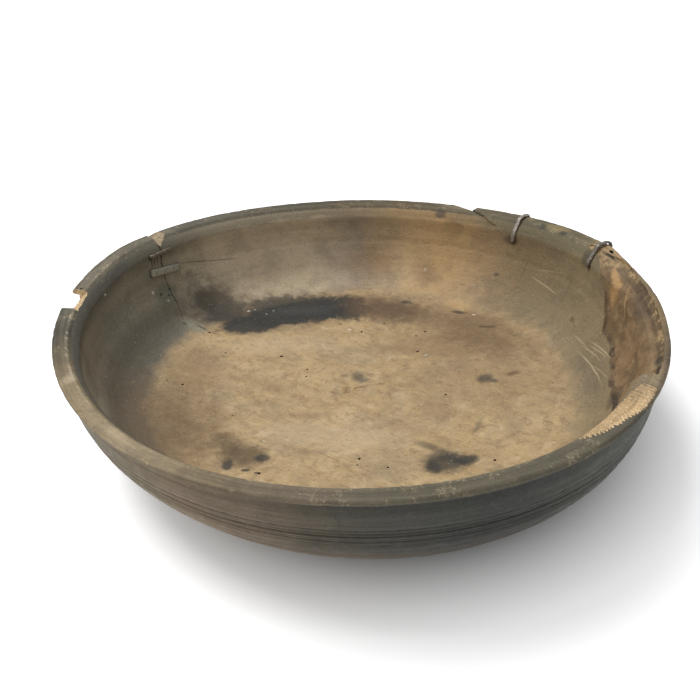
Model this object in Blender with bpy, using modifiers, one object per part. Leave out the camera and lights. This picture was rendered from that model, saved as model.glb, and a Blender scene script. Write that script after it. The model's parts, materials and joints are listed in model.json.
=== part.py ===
"""An old turned wooden bowl, dried oval, cracked, chipped at the rim and mended with four metal staples.

Metres, +Z up. The origin is the middle of the flat foot. The bowl and its damage are first laid out
round, as it left the lathe, and then everything takes the shape that the wood dried to.
"""

import math

import bmesh
import bpy
from mathutils import Matrix, Vector

# The turned form.
RIM_RADIUS = 0.170
HEIGHT = 0.0847
FOOT_RADIUS = 0.079
LIP_OVERHANG = 0.0035
LIP_DEPTH = 0.0042
LIP_ROUND = 0.0022
RIM_WIDTH = 0.0090
RIM_ROLL = 0.0060
THROAT_DEPTH = 0.0085
FLOOR_RADIUS = 0.116
FLOOR_DEPTH = 0.055
FLOOR_DISH = 0.0053
GROOVE_DEPTH = 0.0008
GROOVE_WIDTH = 0.0018
GROOVE_DROPS = (0.0215, 0.0295)
SIDE_POWER = 2.75
SIDE_FULLNESS = 0.78
COVE_FULLNESS = 0.46
TURN_STEPS = 96
SIDE_POINTS = 9
COVE_POINTS = 9
DISH_POINTS = 4

# What drying did: shares of the radius, lifts of the rim, and the directions of their peaks.
GRAIN_ANGLE = math.radians(-40.0)
OVAL_SHARE = 0.063
EGG_SHARE = 0.0139
EGG_ANGLE = math.radians(40.0)
SADDLE_LIFT = 0.0027
SADDLE_ANGLE = math.radians(-50.3)
WAVE_LIFT = 0.0028
WAVE_ANGLE = math.radians(29.5)
# Where the rim rises more: the direction, half the width of the rise, and how high.
RISES = (
    (math.radians(-10.0), math.radians(8.0), 0.0018),
    (math.radians(11.5), math.radians(4.5), 0.0020),
    (math.radians(14.0), math.radians(22.0), 0.0034),
    (math.radians(82.0), math.radians(23.0), 0.0019),
    (math.radians(147.0), math.radians(9.0), 0.0014),
)
HOLLOW_SHIFT_X = -0.004
HOLLOW_SHIFT_Y = 0.0015

# The long crack down the left of the wall, along the grain, and the corner lost beside it. The path is
# the share of its depth and how far the crack wanders there, in degrees.
CRACK_ANGLE = math.radians(139.0)
CRACK_TOP_WIDTH = 0.0014
CRACK_END_WIDTH = 0.0005
CRACK_FLOOR_GAP = 0.003
CRACK_INNER_END = 0.008
CRACK_OUTER_END = 0.014
CRACK_PATH = (
    (-0.15, -0.9),
    (0.1, -0.5),
    (0.3, 0.1),
    (0.5, 0.4),
    (0.7, 0.4),
    (0.85, 0.9),
    (1.0, 2.4),
)
CRACK_CHIP_DEPTH = 0.0062
CRACK_CHIP_OUTER_DEPTH = 0.0021
CRACK_CHIP_OUTER_SHARE = 0.62
CRACK_CHIP_START = math.radians(138.2)
CRACK_CHIP_REACH = math.radians(3.6)

# The piece lost from the lip at the left.
NOTCH_BACK = math.radians(163.5)
NOTCH_FRONT = math.radians(170.3)
NOTCH_STEP = 0.0045
NOTCH_SHELF = 0.002
NOTCH_BITE = 0.0068
NOTCH_FOOT = 0.0082

# The split along the grain at the back, with a chip lost from the lip beside it.
SPLIT_ANGLE = math.radians(52.8)
SPLIT_END_ANGLE = math.radians(39.5)
SPLIT_WIDTH = 0.0008
SPLIT_DEPTH = 0.0085
SPLIT_CHIP_END = math.radians(59.7)
SPLIT_CHIP_DEPTH = 0.0095
SPLIT_CHIP_BITE = 0.0065
SPLIT_CHIP_SLANT = math.radians(2.0)

# The layer torn off the inside at the right, and the gnawed bevel in front of it.
TEAR_THICKNESS = 0.0024
# The torn layer round the bowl: the direction in degrees, its drop, the rim lost there and the top lost.
TEAR_PATH = (
    (14.5, 0.0020, 0.0003, 0.0004),
    (10.6, 0.0030, 0.0005, 0.0004),
    (8.4, 0.0050, 0.0020, 0.0005),
    (6.2, 0.0085, 0.0060, 0.0009),
    (4.0, 0.0125, 0.0068, 0.0012),
    (2.8, 0.0170, 0.0064, 0.0010),
    (1.5, 0.0220, 0.0060, 0.0008),
    (-0.1, 0.0260, 0.0056, 0.0006),
    (-2.1, 0.0320, 0.0050, 0.0004),
    (-7.3, 0.0320, 0.0045, 0.0004),
    (-14.9, 0.0370, 0.0050, 0.0004),
    (-18.8, 0.0390, 0.0052, 0.0004),
    (-27.2, 0.0355, 0.0052, 0.0005),
    (-33.5, 0.0350, 0.0048, 0.0008),
)
TEAR_FADE_DROP = 0.022
# The gnawed bevel: its share from start to end and the radius that its outer edge has reached.
GNAW_START = math.radians(-51.0)
GNAW_END = math.radians(-36.0)
GNAW_SLANT = math.radians(5.0)
GNAW_SLOPE = 0.60
GNAW_EDGE = (
    (0.0, 0.1606),
    (0.2, 0.1632),
    (0.4, 0.1662),
    (0.6, 0.1680),
    (0.8, 0.1688),
    (1.0, 0.1692),
)

# The staples. Their legs sit in slots of the wall with a small clearance.
CLEARANCE = 0.0003
CROWN_STAND = 0.0005
STAPLE_LEG = 0.0040
WIRE_STAPLE_LENGTH = 0.0180
WIRE_STAPLE_WIDTH = 0.0028
WIRE_STAPLE_THICKNESS = 0.0016
WIRE_STAPLE_DROP = 0.0092
WIRE_STAPLE_TURN = math.radians(2.0)
STRAP_STAPLE_LENGTH = 0.0225
STRAP_STAPLE_WIDTH = 0.0048
STRAP_STAPLE_THICKNESS = 0.0014
STRAP_STAPLE_DROP = 0.0215
STRAP_STAPLE_TURN = math.radians(-8.0)
BACK_STAPLE_ANGLE = math.radians(38.2)
BACK_STAPLE_DROP = 0.0135
BACK_STAPLE_WIDTH = 0.0028
BACK_STAPLE_TURN = math.radians(4.0)
SIDE_STAPLE_ANGLE = math.radians(12.8)
SIDE_STAPLE_DROP = 0.0100
SIDE_STAPLE_WIDTH = 0.0026
SIDE_STAPLE_TURN = math.radians(14.0)
RIM_STAPLE_THICKNESS = 0.0012
STAPLE_EDGE = 0.0003
RIM_STAPLE_UNDER = 0.0042
RIM_STAPLE_LEG_SHARE = 0.8
RIM_SLOT_NEAR = 0.0020

WALL_RADIUS = RIM_RADIUS - LIP_OVERHANG
THROAT_RADIUS = RIM_RADIUS - RIM_WIDTH - RIM_ROLL
ABOVE_RIM = 0.012
OUTSIDE = RIM_RADIUS + 0.015
INSIDE = THROAT_RADIUS - 0.006


def outer_radius(drop):
    """Radius of the outside at a drop below the top of the rim, under the lip."""
    share = min(max((drop - LIP_DEPTH) / (HEIGHT - LIP_DEPTH), 0.0), 1.0)
    return FOOT_RADIUS + (WALL_RADIUS - FOOT_RADIUS) * (1.0 - share**SIDE_POWER) ** SIDE_FULLNESS


def inner_radius(drop):
    """Radius of the inside at a drop below the top of the rim, down to the floor."""
    if drop < THROAT_DEPTH:
        return THROAT_RADIUS + RIM_ROLL * (1.0 - max(drop, 0.0) / THROAT_DEPTH)
    share = min((drop - THROAT_DEPTH) / (FLOOR_DEPTH - THROAT_DEPTH), 1.0)
    return FLOOR_RADIUS + (THROAT_RADIUS - FLOOR_RADIUS) * (1.0 - share**2) ** COVE_FULLNESS


def lip_points():
    """The lip's round outer edge and its underside, as (radius, drop)."""
    middle = RIM_RADIUS - LIP_ROUND
    arc = []
    for step in range(5):
        turn = math.radians(90.0 - 30.0 * step)
        arc.append((middle + LIP_ROUND * math.cos(turn), LIP_ROUND - LIP_ROUND * math.sin(turn)))
    return arc + [(WALL_RADIUS - GROOVE_DEPTH, LIP_DEPTH)]


def side_points():
    """The outside below the lip with its turned grooves, down to the foot."""
    depth = HEIGHT - LIP_DEPTH
    drops = [LIP_DEPTH + GROOVE_WIDTH]
    for i in range(1, SIDE_POINTS + 1):
        drops.append(LIP_DEPTH + depth * math.sin(math.radians(90.0 * i / SIDE_POINTS)))
    points = []
    for drop in drops:
        if all(abs(drop - groove) > GROOVE_WIDTH for groove in GROOVE_DROPS):
            points.append((outer_radius(drop), drop))
    for groove in GROOVE_DROPS:
        for part in (-0.5, 0.0, 0.5):
            cut = GROOVE_DEPTH if part == 0.0 else 0.0
            drop = groove + part * GROOVE_WIDTH
            points.append((outer_radius(drop) - cut, drop))
    return sorted(points, key=lambda point: point[1])


def cove_points():
    """The inside of the wall from the floor's edge up to the throat."""
    points = []
    for i in range(COVE_POINTS + 1):
        share = math.cos(math.radians(90.0 * i / COVE_POINTS))
        drop = THROAT_DEPTH + (FLOOR_DEPTH - THROAT_DEPTH) * share
        points.append((inner_radius(drop), drop))
    return points


def dish_points():
    """The slightly dished floor from its middle out to the cove."""
    points = []
    for i in range(DISH_POINTS):
        share = i / DISH_POINTS
        points.append((FLOOR_RADIUS * share, FLOOR_DEPTH + FLOOR_DISH * (1.0 - share**2)))
    return points


def rim_lift(angle):
    """How high the warped rim stands in a direction, above where it was turned."""
    lift = SADDLE_LIFT * math.cos(2.0 * (angle - SADDLE_ANGLE))
    lift += WAVE_LIFT * math.cos(3.0 * (angle - WAVE_ANGLE))
    for middle, width, height in RISES:
        lift += height * math.exp(-(((angle - middle) / width) ** 2))
    return lift


def dried(point):
    """Where a point of the round bowl lies after the wood dried oval and its rim warped."""
    radius = math.hypot(point.x, point.y)
    angle = math.atan2(point.y, point.x)
    drop = HEIGHT - point.z
    wall = outer_radius(drop) - inner_radius(drop)
    inward = min(max((outer_radius(drop) - radius) / max(wall, LIP_ROUND), 0.0), 1.0)
    deep = min(max(drop / FLOOR_DEPTH, 0.0), 1.0)
    deep *= min(max(point.z / (HEIGHT - FLOOR_DEPTH), 0.0), 1.0)
    stretch = 1.0 + OVAL_SHARE * math.cos(2.0 * (angle - GRAIN_ANGLE))
    stretch += EGG_SHARE * math.cos(3.0 * (angle - EGG_ANGLE))
    height = point.z + rim_lift(angle) * point.z / HEIGHT
    shift = Vector((HOLLOW_SHIFT_X, HOLLOW_SHIFT_Y, 0.0)) * inward * deep
    return Vector((point.x * stretch, point.y * stretch, height)) + shift


def at(radius, angle, drop):
    """A point of the round bowl from its radius, its angle and its drop below the rim."""
    return Vector((radius * math.cos(angle), radius * math.sin(angle), HEIGHT - drop))


def make_collection(name):
    collection = bpy.data.collections.new(name)
    bpy.context.scene.collection.children.link(collection)
    return collection


def make_material(name, color, roughness, metallic):
    material = bpy.data.materials.new(name)
    material.use_nodes = True
    shader = material.node_tree.nodes["Principled BSDF"]
    shader.inputs["Base Color"].default_value = (*color, 1.0)
    shader.inputs["Roughness"].default_value = roughness
    shader.inputs["Metallic"].default_value = metallic
    material.diffuse_color = (*color, 1.0)
    return material


def add_object(name, data, collection):
    thing = bpy.data.objects.new(name, data)
    collection.objects.link(thing)
    return thing


def as_cutter(cutter):
    cutter.hide_render = True
    cutter.display_type = "WIRE"
    return cutter


def cut_from(body, cutter):
    modifier = body.modifiers.new(f"cut {cutter.name}", "BOOLEAN")
    modifier.operation = "DIFFERENCE"
    modifier.solver = "EXACT"
    modifier.object = cutter


def loft_cutter(name, sections, collection):
    """A closed body through loops of equally many points, which no primitive or modifier makes."""
    bm = bmesh.new()
    loops = [[bm.verts.new(point) for point in section] for section in sections]
    count = len(loops[0])
    for lower, upper in zip(loops[:-1], loops[1:]):
        for i in range(count):
            j = (i + 1) % count
            bm.faces.new((lower[i], lower[j], upper[j], upper[i]))
    bm.faces.new(loops[0])
    bm.faces.new(loops[-1])
    bmesh.ops.recalc_face_normals(bm, faces=bm.faces[:])
    bmesh.ops.triangulate(bm, faces=bm.faces[:])
    mesh = bpy.data.meshes.new(name)
    bm.to_mesh(mesh)
    bm.free()
    return as_cutter(add_object(name, mesh, collection))


def baked(thing, name):
    """The evaluated object as plain triangles, welded, in world space."""
    graph = bpy.context.evaluated_depsgraph_get()
    mesh = bpy.data.meshes.new_from_object(thing.evaluated_get(graph), depsgraph=graph)
    mesh.transform(thing.matrix_world)
    bm = bmesh.new()
    bm.from_mesh(mesh)
    bmesh.ops.remove_doubles(bm, verts=bm.verts[:], dist=0.000001)
    bmesh.ops.triangulate(bm, faces=bm.faces[:])
    bm.to_mesh(mesh)
    bm.free()
    mesh.name = name
    return mesh


def dry(mesh):
    for vertex in mesh.vertices:
        vertex.co = dried(vertex.co)


def turned_bowl(collection):
    """The bowl as turned: its section swept once round the axis."""
    section = dish_points() + cove_points() + [(RIM_RADIUS - RIM_WIDTH, LIP_ROUND / 4.0)]
    section += lip_points() + side_points() + [(0.0, HEIGHT)]
    mesh = bpy.data.meshes.new("turned section")
    vertices = [(radius, 0.0, HEIGHT - drop) for radius, drop in section]
    mesh.from_pydata(vertices, [(i, i + 1) for i in range(len(vertices) - 1)], [])
    bowl = add_object("turned bowl", mesh, collection)
    screw = bowl.modifiers.new("turn", "SCREW")
    screw.axis = "Z"
    screw.steps = TURN_STEPS
    screw.render_steps = TURN_STEPS
    screw.use_merge_vertices = True
    screw.merge_threshold = 0.00001
    return bowl


def crack_cutter(collection):
    """The long crack: a slit that narrows from the rim to the edge of the floor."""
    bottom = FLOOR_DEPTH - CRACK_FLOOR_GAP
    inside = FLOOR_RADIUS + CRACK_INNER_END
    lowest_outside = FLOOR_RADIUS + CRACK_OUTER_END
    sections = []
    for share, wander in CRACK_PATH:
        angle = CRACK_ANGLE + math.radians(wander)
        width = CRACK_TOP_WIDTH + (CRACK_END_WIDTH - CRACK_TOP_WIDTH) * max(share, 0.0)
        outside = OUTSIDE - (OUTSIDE - lowest_outside) * max(share - 0.5, 0.0) * 2.0
        loop = []
        for radius, side in ((inside, -0.5), (outside, -0.5), (outside, 0.5), (inside, 0.5)):
            loop.append(at(radius, angle + side * width / radius, bottom * share))
        sections.append(loop)
    return loft_cutter("crack", sections, collection)


def crack_chip_cutter(collection):
    """The corner of the rim lost beside the long crack, deepest at the rim's inner edge."""
    sections = []
    for share in (-0.12, 0.3, CRACK_CHIP_OUTER_SHARE, 1.05):
        angle = CRACK_CHIP_START - CRACK_CHIP_REACH * share
        inner_depth = CRACK_CHIP_DEPTH * (1.0 - share)
        outer_depth = CRACK_CHIP_OUTER_DEPTH * (1.0 - share / CRACK_CHIP_OUTER_SHARE)
        loop = [
            at(INSIDE, angle, inner_depth),
            at(OUTSIDE, angle, outer_depth),
            at(OUTSIDE, angle, -ABOVE_RIM),
            at(INSIDE, angle, -ABOVE_RIM),
        ]
        sections.append(loop)
    return loft_cutter("crack_chip", sections, collection)


def notch_cutter(collection):
    """The lost piece of lip: a shelf that slopes outward from the inner edge of the rim."""
    middle = 0.5 * (NOTCH_BACK + NOTCH_FRONT)
    sections = []
    for angle, reach in ((NOTCH_BACK, 0.0), (middle, 0.0008), (NOTCH_FRONT, 0.0030)):
        loop = [
            at(THROAT_RADIUS, angle, -ABOVE_RIM),
            at(THROAT_RADIUS, angle, NOTCH_SHELF),
            at(RIM_RADIUS - NOTCH_BITE + reach, angle, NOTCH_STEP),
            at(RIM_RADIUS - NOTCH_BITE + reach + 0.0012, angle, NOTCH_FOOT),
            at(OUTSIDE, angle, NOTCH_FOOT + NOTCH_SHELF),
            at(OUTSIDE, angle, -ABOVE_RIM),
        ]
        sections.append(loop)
    return loft_cutter("notch", sections, collection)


def split_cutter(collection):
    """The split that runs along the grain from the chip to the back staple."""
    ends = ((RIM_RADIUS - 0.0060, SPLIT_ANGLE + math.radians(0.6)), (THROAT_RADIUS - 0.0010, SPLIT_END_ANGLE))
    first, last = (at(radius, angle, 0.0) for radius, angle in ends)
    along = (last - first).normalized()
    aside = along.cross(Vector((0.0, 0.0, 1.0))) * 0.5 * SPLIT_WIDTH
    plan = (first - aside, last - aside, last + aside, first + aside)
    top = [point + Vector((0.0, 0.0, ABOVE_RIM)) for point in plan]
    bottom = [point - Vector((0.0, 0.0, SPLIT_DEPTH)) for point in plan]
    return loft_cutter("split", [bottom, top], collection)


def split_chip_cutter(collection):
    """The splinter lost from the lip where the split comes out at its edge."""
    sections = []
    for drop, back in ((SPLIT_CHIP_DEPTH, 0.0022), (-ABOVE_RIM, -0.0010)):
        loop = [
            at(RIM_RADIUS - SPLIT_CHIP_BITE + back, SPLIT_ANGLE, drop),
            at(RIM_RADIUS + back, SPLIT_CHIP_END, drop),
            at(OUTSIDE, SPLIT_CHIP_END, drop),
            at(OUTSIDE, SPLIT_ANGLE - SPLIT_CHIP_SLANT, drop),
        ]
        sections.append(loop)
    return loft_cutter("split_chip", sections, collection)


def tear_cutter(collection):
    """The layer torn off the inside at the right, which took the inner part of the rim with it."""
    sections = []
    for degrees, drop, loss, low in TEAR_PATH:
        angle = math.radians(degrees)
        edge = RIM_RADIUS - RIM_WIDTH + loss
        middle = 0.5 * (drop + low)
        depth = TEAR_THICKNESS * min(drop / TEAR_FADE_DROP, 1.0)
        loop = [
            at(FLOOR_RADIUS, angle, -ABOVE_RIM),
            at(FLOOR_RADIUS, angle, drop),
            at(inner_radius(drop) + 0.5 * depth, angle, drop),
            at(inner_radius(middle) + depth, angle, middle),
            at(edge, angle, low + 0.001),
            at(edge + 0.0015, angle, -ABOVE_RIM),
        ]
        sections.append(loop)
    return loft_cutter("tear", sections, collection)


def gnaw_cutter(collection):
    """The gnawed bevel: it starts at the inner edge of the rim and widens to its full width."""
    sections = []
    for share, edge in GNAW_EDGE:
        angle = GNAW_START + (GNAW_END - GNAW_START) * share
        fall = GNAW_SLOPE * (edge - INSIDE)
        corners = ((INSIDE, -ABOVE_RIM), (INSIDE, fall), (edge, 0.0), (edge + 0.002, -ABOVE_RIM))
        loop = []
        for radius, drop in corners:
            slant = GNAW_SLANT * share * (radius - THROAT_RADIUS) / (RIM_RADIUS - THROAT_RADIUS)
            loop.append(at(radius, angle - slant, drop))
        sections.append(loop)
    return loft_cutter("gnawed", sections, collection)


def outline_object(name, points, width, frame, collection):
    """A flat outline extruded to a width, placed by its frame, as a mesh with slightly rounded edges."""
    curve = bpy.data.curves.new(name, "CURVE")
    curve.dimensions = "2D"
    curve.fill_mode = "BOTH"
    curve.extrude = 0.5 * width
    spline = curve.splines.new("POLY")
    spline.points.add(len(points) - 1)
    for target, (x, y) in zip(spline.points, points):
        target.co = (x, y, 0.0, 1.0)
    spline.use_cyclic_u = True
    drawn = add_object(f"{name} outline", curve, collection)
    drawn.matrix_world = frame
    bpy.context.view_layer.update()
    mesh = baked(drawn, name)
    bpy.data.objects.remove(drawn)
    return mesh


def wall_frame(angle, drop, turn):
    """X along the wall, Y out of the inside face of the wall, Z across; the origin is on that face."""
    step = 0.002
    slope = (inner_radius(drop - step) - inner_radius(drop + step)) / (2.0 * step)
    radial = Vector((math.cos(angle), math.sin(angle), 0.0))
    up_wall = (Vector((0.0, 0.0, 1.0)) + radial * slope).normalized()
    tangent = Vector((math.sin(angle), -math.cos(angle), 0.0))
    along = (tangent * math.cos(turn) + up_wall * math.sin(turn)).normalized()
    out = up_wall.cross(tangent).normalized()
    if out.dot(radial) > 0.0:
        out = -out
    across = along.cross(out)
    matrix = Matrix((along, out, across)).transposed().to_4x4()
    matrix.translation = at(inner_radius(drop), angle, drop)
    return matrix


def flat_staple_outline(length, thickness, extra):
    """A staple seen from its side: a crown and two legs. extra grows it into the outline of its slots."""
    half = 0.5 * length
    sag = inner_radius(STRAP_STAPLE_DROP) - math.sqrt(inner_radius(STRAP_STAPLE_DROP) ** 2 - half**2)
    lower = sag + CROWN_STAND
    foot = lower - STAPLE_LEG - sag
    if extra > 0.0:
        left = [(-half - extra, foot - extra), (-half + thickness + extra, foot - extra)]
        left += [(-half + thickness + extra, lower + extra), (-half - extra, lower + extra)]
        return [left, [(-x, y) for x, y in reversed(left)]]
    inside = half - thickness
    return [
        (-half, foot),
        (-inside, foot),
        (-inside, lower),
        (inside, lower),
        (inside, foot),
        (half, foot),
        (half, lower + thickness),
        (-half, lower + thickness),
    ]


def section_along(angle, turn, radius):
    """How far along a strap that crosses the rim at a turn a radius lies, from where the rim's edge lies."""
    start = Vector((RIM_RADIUS * math.cos(angle), RIM_RADIUS * math.sin(angle)))
    way = Vector((math.cos(angle + turn), math.sin(angle + turn)))
    half = start.dot(way)
    return -half + math.sqrt(half**2 - RIM_RADIUS**2 + radius**2)


def rim_staple_path(angle, turn, inside_drop):
    """The way over the rim, from the slot in the inside of the wall to the slot under the lip."""
    under = LIP_DEPTH + RIM_STAPLE_UNDER
    throat = min(THROAT_DEPTH, 0.9 * inside_drop)
    points = [
        (inner_radius(inside_drop), inside_drop),
        (inner_radius(throat), throat),
        (inner_radius(0.0025), 0.0025),
        (RIM_RADIUS - RIM_WIDTH - 0.0002, 0.0),
        (RIM_RADIUS - LIP_ROUND, -0.0001),
        (RIM_RADIUS - 0.25 * LIP_ROUND, 0.25 * LIP_ROUND),
        (RIM_RADIUS + 0.0001, LIP_ROUND),
        (RIM_RADIUS - 0.0006, LIP_DEPTH - 0.0008),
        (WALL_RADIUS + 0.0010, LIP_DEPTH + 0.0012),
        (outer_radius(under), under),
    ]
    return [Vector((section_along(angle, turn, radius), HEIGHT - drop)) for radius, drop in points]


def offset_path(path, distance):
    """The path moved to its left side by a distance, with mitred corners."""
    moved = []
    for i, point in enumerate(path):
        before = (point - path[i - 1]).normalized() if i > 0 else None
        after = (path[i + 1] - point).normalized() if i < len(path) - 1 else None
        before = before or after
        after = after or before
        normal = Vector((-before.y - after.y, before.x + after.x)).normalized()
        square = Vector((-before.y, before.x))
        moved.append(point + normal * distance / max(normal.dot(square), 0.5))
    return moved


def rim_staple_outline(path, stand, thickness):
    """A strap of even thickness that stands off the rim, with a leg into the wood at each end."""
    under = offset_path(path, stand)
    over = offset_path(path, stand + thickness)
    inner_leg = Vector((STAPLE_LEG * RIM_STAPLE_LEG_SHARE, 0.0))
    thick = Vector((0.0, thickness))
    outline = [under[0] + inner_leg, under[0]] + under[1:-1] + [under[-1], under[-1] - inner_leg]
    outline += [under[-1] - inner_leg - thick, Vector((over[-1].x, under[-1].y)) - thick]
    outline += list(reversed(over[1:-1]))
    outline += [Vector((over[0].x, under[0].y)) - thick, under[0] + inner_leg - thick]
    return [(point.x, point.y) for point in outline]


def rim_staple_slots(path, thickness):
    """The outlines of the two slots that the legs of a strap sit in."""
    legs = []
    for end, way in ((path[0], 1.0), (path[-1], -1.0)):
        near = end.x - way * RIM_SLOT_NEAR
        far = end.x + way * (STAPLE_LEG * RIM_STAPLE_LEG_SHARE + CLEARANCE)
        top = end.y + 2.0 * CLEARANCE
        low = end.y - thickness - 2.0 * CLEARANCE
        legs.append([(near, low), (far, low), (far, top), (near, top)])
    return legs


def rim_frame(angle, turn):
    """X outward over the rim, Y up, Z across; the origin is below the rim's edge at the height of the foot."""
    way = Vector((math.cos(angle + turn), math.sin(angle + turn), 0.0))
    up = Vector((0.0, 0.0, 1.0))
    matrix = Matrix((way, up, way.cross(up))).transposed().to_4x4()
    matrix.translation = Vector((RIM_RADIUS * math.cos(angle), RIM_RADIUS * math.sin(angle), 0.0))
    return matrix


def finish_staple(name, mesh, material, collection):
    staple = add_object(name, mesh, collection)
    dry(staple.data)
    bevel = staple.modifiers.new("worn edges", "BEVEL")
    bevel.width = STAPLE_EDGE
    bevel.segments = 1
    bevel.limit_method = "ANGLE"
    bevel.angle_limit = math.radians(50.0)
    staple.data.materials.append(material)
    return staple


def flat_staples():
    """Name, frame, length, width and thickness of each staple across the long crack."""
    crown_drops = (WIRE_STAPLE_DROP, STRAP_STAPLE_DROP)
    turns = (WIRE_STAPLE_TURN, STRAP_STAPLE_TURN)
    frames = [wall_frame(CRACK_ANGLE, drop, turn) for drop, turn in zip(crown_drops, turns)]
    return (
        ("wire_staple_upper", frames[0], WIRE_STAPLE_LENGTH, WIRE_STAPLE_WIDTH, WIRE_STAPLE_THICKNESS),
        ("strap_staple_lower", frames[1], STRAP_STAPLE_LENGTH, STRAP_STAPLE_WIDTH, STRAP_STAPLE_THICKNESS),
    )


def rim_staples():
    """Name, angle, turn, drop of the inner end and width of each strap over the rim."""
    return (
        ("rim_staple_back", BACK_STAPLE_ANGLE, BACK_STAPLE_TURN, BACK_STAPLE_DROP, BACK_STAPLE_WIDTH),
        ("rim_staple_side", SIDE_STAPLE_ANGLE, SIDE_STAPLE_TURN, SIDE_STAPLE_DROP, SIDE_STAPLE_WIDTH),
    )


def main():
    for thing in list(bpy.data.objects):
        bpy.data.objects.remove(thing)
    parts = make_collection("cracked_bowl")
    cutters = make_collection("cutters")
    wood = make_material("aged wood", (0.22, 0.17, 0.115), 0.62, 0.0)
    rusty = make_material("rusty iron", (0.16, 0.125, 0.10), 0.6, 0.8)
    dull = make_material("dull zinc", (0.27, 0.27, 0.25), 0.5, 0.9)
    bright = make_material("bright wire", (0.55, 0.54, 0.52), 0.35, 1.0)
    metals = {"wire_staple_upper": rusty, "strap_staple_lower": dull}

    turned = as_cutter(turned_bowl(cutters))
    for make_cutter in (
        crack_cutter,
        crack_chip_cutter,
        notch_cutter,
        split_cutter,
        split_chip_cutter,
        tear_cutter,
        gnaw_cutter,
    ):
        cut_from(turned, make_cutter(cutters))

    for name, frame, length, width, thickness in flat_staples():
        outline = flat_staple_outline(length, thickness, 0.0)
        mesh = outline_object(name, outline, width, frame, parts)
        finish_staple(name, mesh, metals[name], parts)
        slots = flat_staple_outline(length, thickness, CLEARANCE)
        for number, slot in enumerate(slots, 1):
            mesh = outline_object(f"{name} slot {number}", slot, width + 2.0 * CLEARANCE, frame, cutters)
            cut_from(turned, as_cutter(add_object(mesh.name, mesh, cutters)))

    for name, angle, turn, drop, width in rim_staples():
        path = rim_staple_path(angle, turn, drop)
        frame = rim_frame(angle, turn)
        stand = CLEARANCE + 0.5 * width * abs(math.sin(turn))
        outline = rim_staple_outline(path, stand, RIM_STAPLE_THICKNESS)
        mesh = outline_object(name, outline, width, frame, parts)
        finish_staple(name, mesh, bright, parts)
        for number, slot in enumerate(rim_staple_slots(path, RIM_STAPLE_THICKNESS), 1):
            mesh = outline_object(f"{name} slot {number}", slot, width + 2.0 * CLEARANCE, frame, cutters)
            cut_from(turned, as_cutter(add_object(mesh.name, mesh, cutters)))

    bpy.context.view_layer.update()
    bowl = add_object("bowl", baked(turned, "bowl"), parts)
    dry(bowl.data)
    bowl.data.materials.clear()
    bowl.data.materials.append(wood)
    bowl.data.shade_smooth()
    bowl.data.set_sharp_from_angle(angle=math.radians(35.0))


main()
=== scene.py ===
"""An old turned wooden bowl with its cracks, breaks, stains and four metal staples, on a white sheet."""

import json
import math

import bmesh
import bpy
from mathutils import Matrix, Vector, noise

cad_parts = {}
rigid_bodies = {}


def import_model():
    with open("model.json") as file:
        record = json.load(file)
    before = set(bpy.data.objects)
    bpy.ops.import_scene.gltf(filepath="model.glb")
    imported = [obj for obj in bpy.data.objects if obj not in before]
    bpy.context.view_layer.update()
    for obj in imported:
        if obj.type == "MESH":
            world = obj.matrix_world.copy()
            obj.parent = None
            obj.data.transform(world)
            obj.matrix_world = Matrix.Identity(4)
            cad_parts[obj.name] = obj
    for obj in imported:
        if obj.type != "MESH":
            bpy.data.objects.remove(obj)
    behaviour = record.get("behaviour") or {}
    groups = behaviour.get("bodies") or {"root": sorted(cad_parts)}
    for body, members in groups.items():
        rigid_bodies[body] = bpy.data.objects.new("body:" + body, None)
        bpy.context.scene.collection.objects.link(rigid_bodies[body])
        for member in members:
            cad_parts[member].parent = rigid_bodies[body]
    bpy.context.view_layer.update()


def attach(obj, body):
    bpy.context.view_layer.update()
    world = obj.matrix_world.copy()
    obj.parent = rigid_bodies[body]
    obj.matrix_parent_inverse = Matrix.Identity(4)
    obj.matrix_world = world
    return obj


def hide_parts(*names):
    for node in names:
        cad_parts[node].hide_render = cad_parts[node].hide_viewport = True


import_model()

scene = bpy.context.scene

# The view: a camera a little above the rim, looking down into the bowl from the front.
CAMERA_PLACE = Vector((0.00007, -0.42557, 0.32010))
CAMERA_AIM = Vector((-0.00136, 0.02325, 0.0400))
CAMERA_LENS = 43.123
CAMERA_SENSOR = 36.0
CAMERA_ROLL = -0.09877

camera_data = bpy.data.cameras.new("camera")
camera_data.lens = CAMERA_LENS
camera_data.sensor_width = CAMERA_SENSOR
camera = bpy.data.objects.new("camera", camera_data)
scene.collection.objects.link(camera)
look = (CAMERA_AIM - CAMERA_PLACE).to_track_quat("-Z", "Y").to_matrix()
camera.location = CAMERA_PLACE
camera.rotation_euler = (look @ Matrix.Rotation(CAMERA_ROLL, 3, "Z")).to_euler()
scene.camera = camera
scene.view_settings.view_transform = "Standard"


# The studio: a white sheet that the bowl stands on, a big soft lamp at the upper left, and pale air all
# round. The sheet and the air show white to the camera and in reflections; the sheet keeps the shadow, and
# its glow is painted light that fades to none near the bowl, so the shade round the bowl is partly painted.
SHEET_SIZE = 8.0
SHEET_COLOR = (0.86, 0.865, 0.87, 1.0)
SHEET_GLOW_NEAR = 0.0
SHEET_GLOW_FAR = 0.49
GLOW_MIDDLE = (0.028, 0.018, 0.0)
GLOW_STARTS = 0.132
GLOW_ENDS = 0.188
AIR_LIGHT = 0.46
LAMP_SIZE = 1.3
LAMP_POWER = 40.0
LAMP_PLACE = Vector((-0.75, 0.35, 2.15))


def add_node(tree, kind, **settings):
    """A node in a tree with its settings made."""
    node = tree.nodes.new(kind)
    for name, value in settings.items():
        setattr(node, name, value)
    return node


def feed(tree, source, target):
    """Joins an output to an input, or writes a plain value on the input."""
    if isinstance(source, bpy.types.NodeSocket):
        tree.links.new(source, target)
    elif isinstance(source, (tuple, list, Vector)) and len(source) == 3 and target.type == "RGBA":
        target.default_value = (*source, 1.0)
    else:
        target.default_value = source


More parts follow.
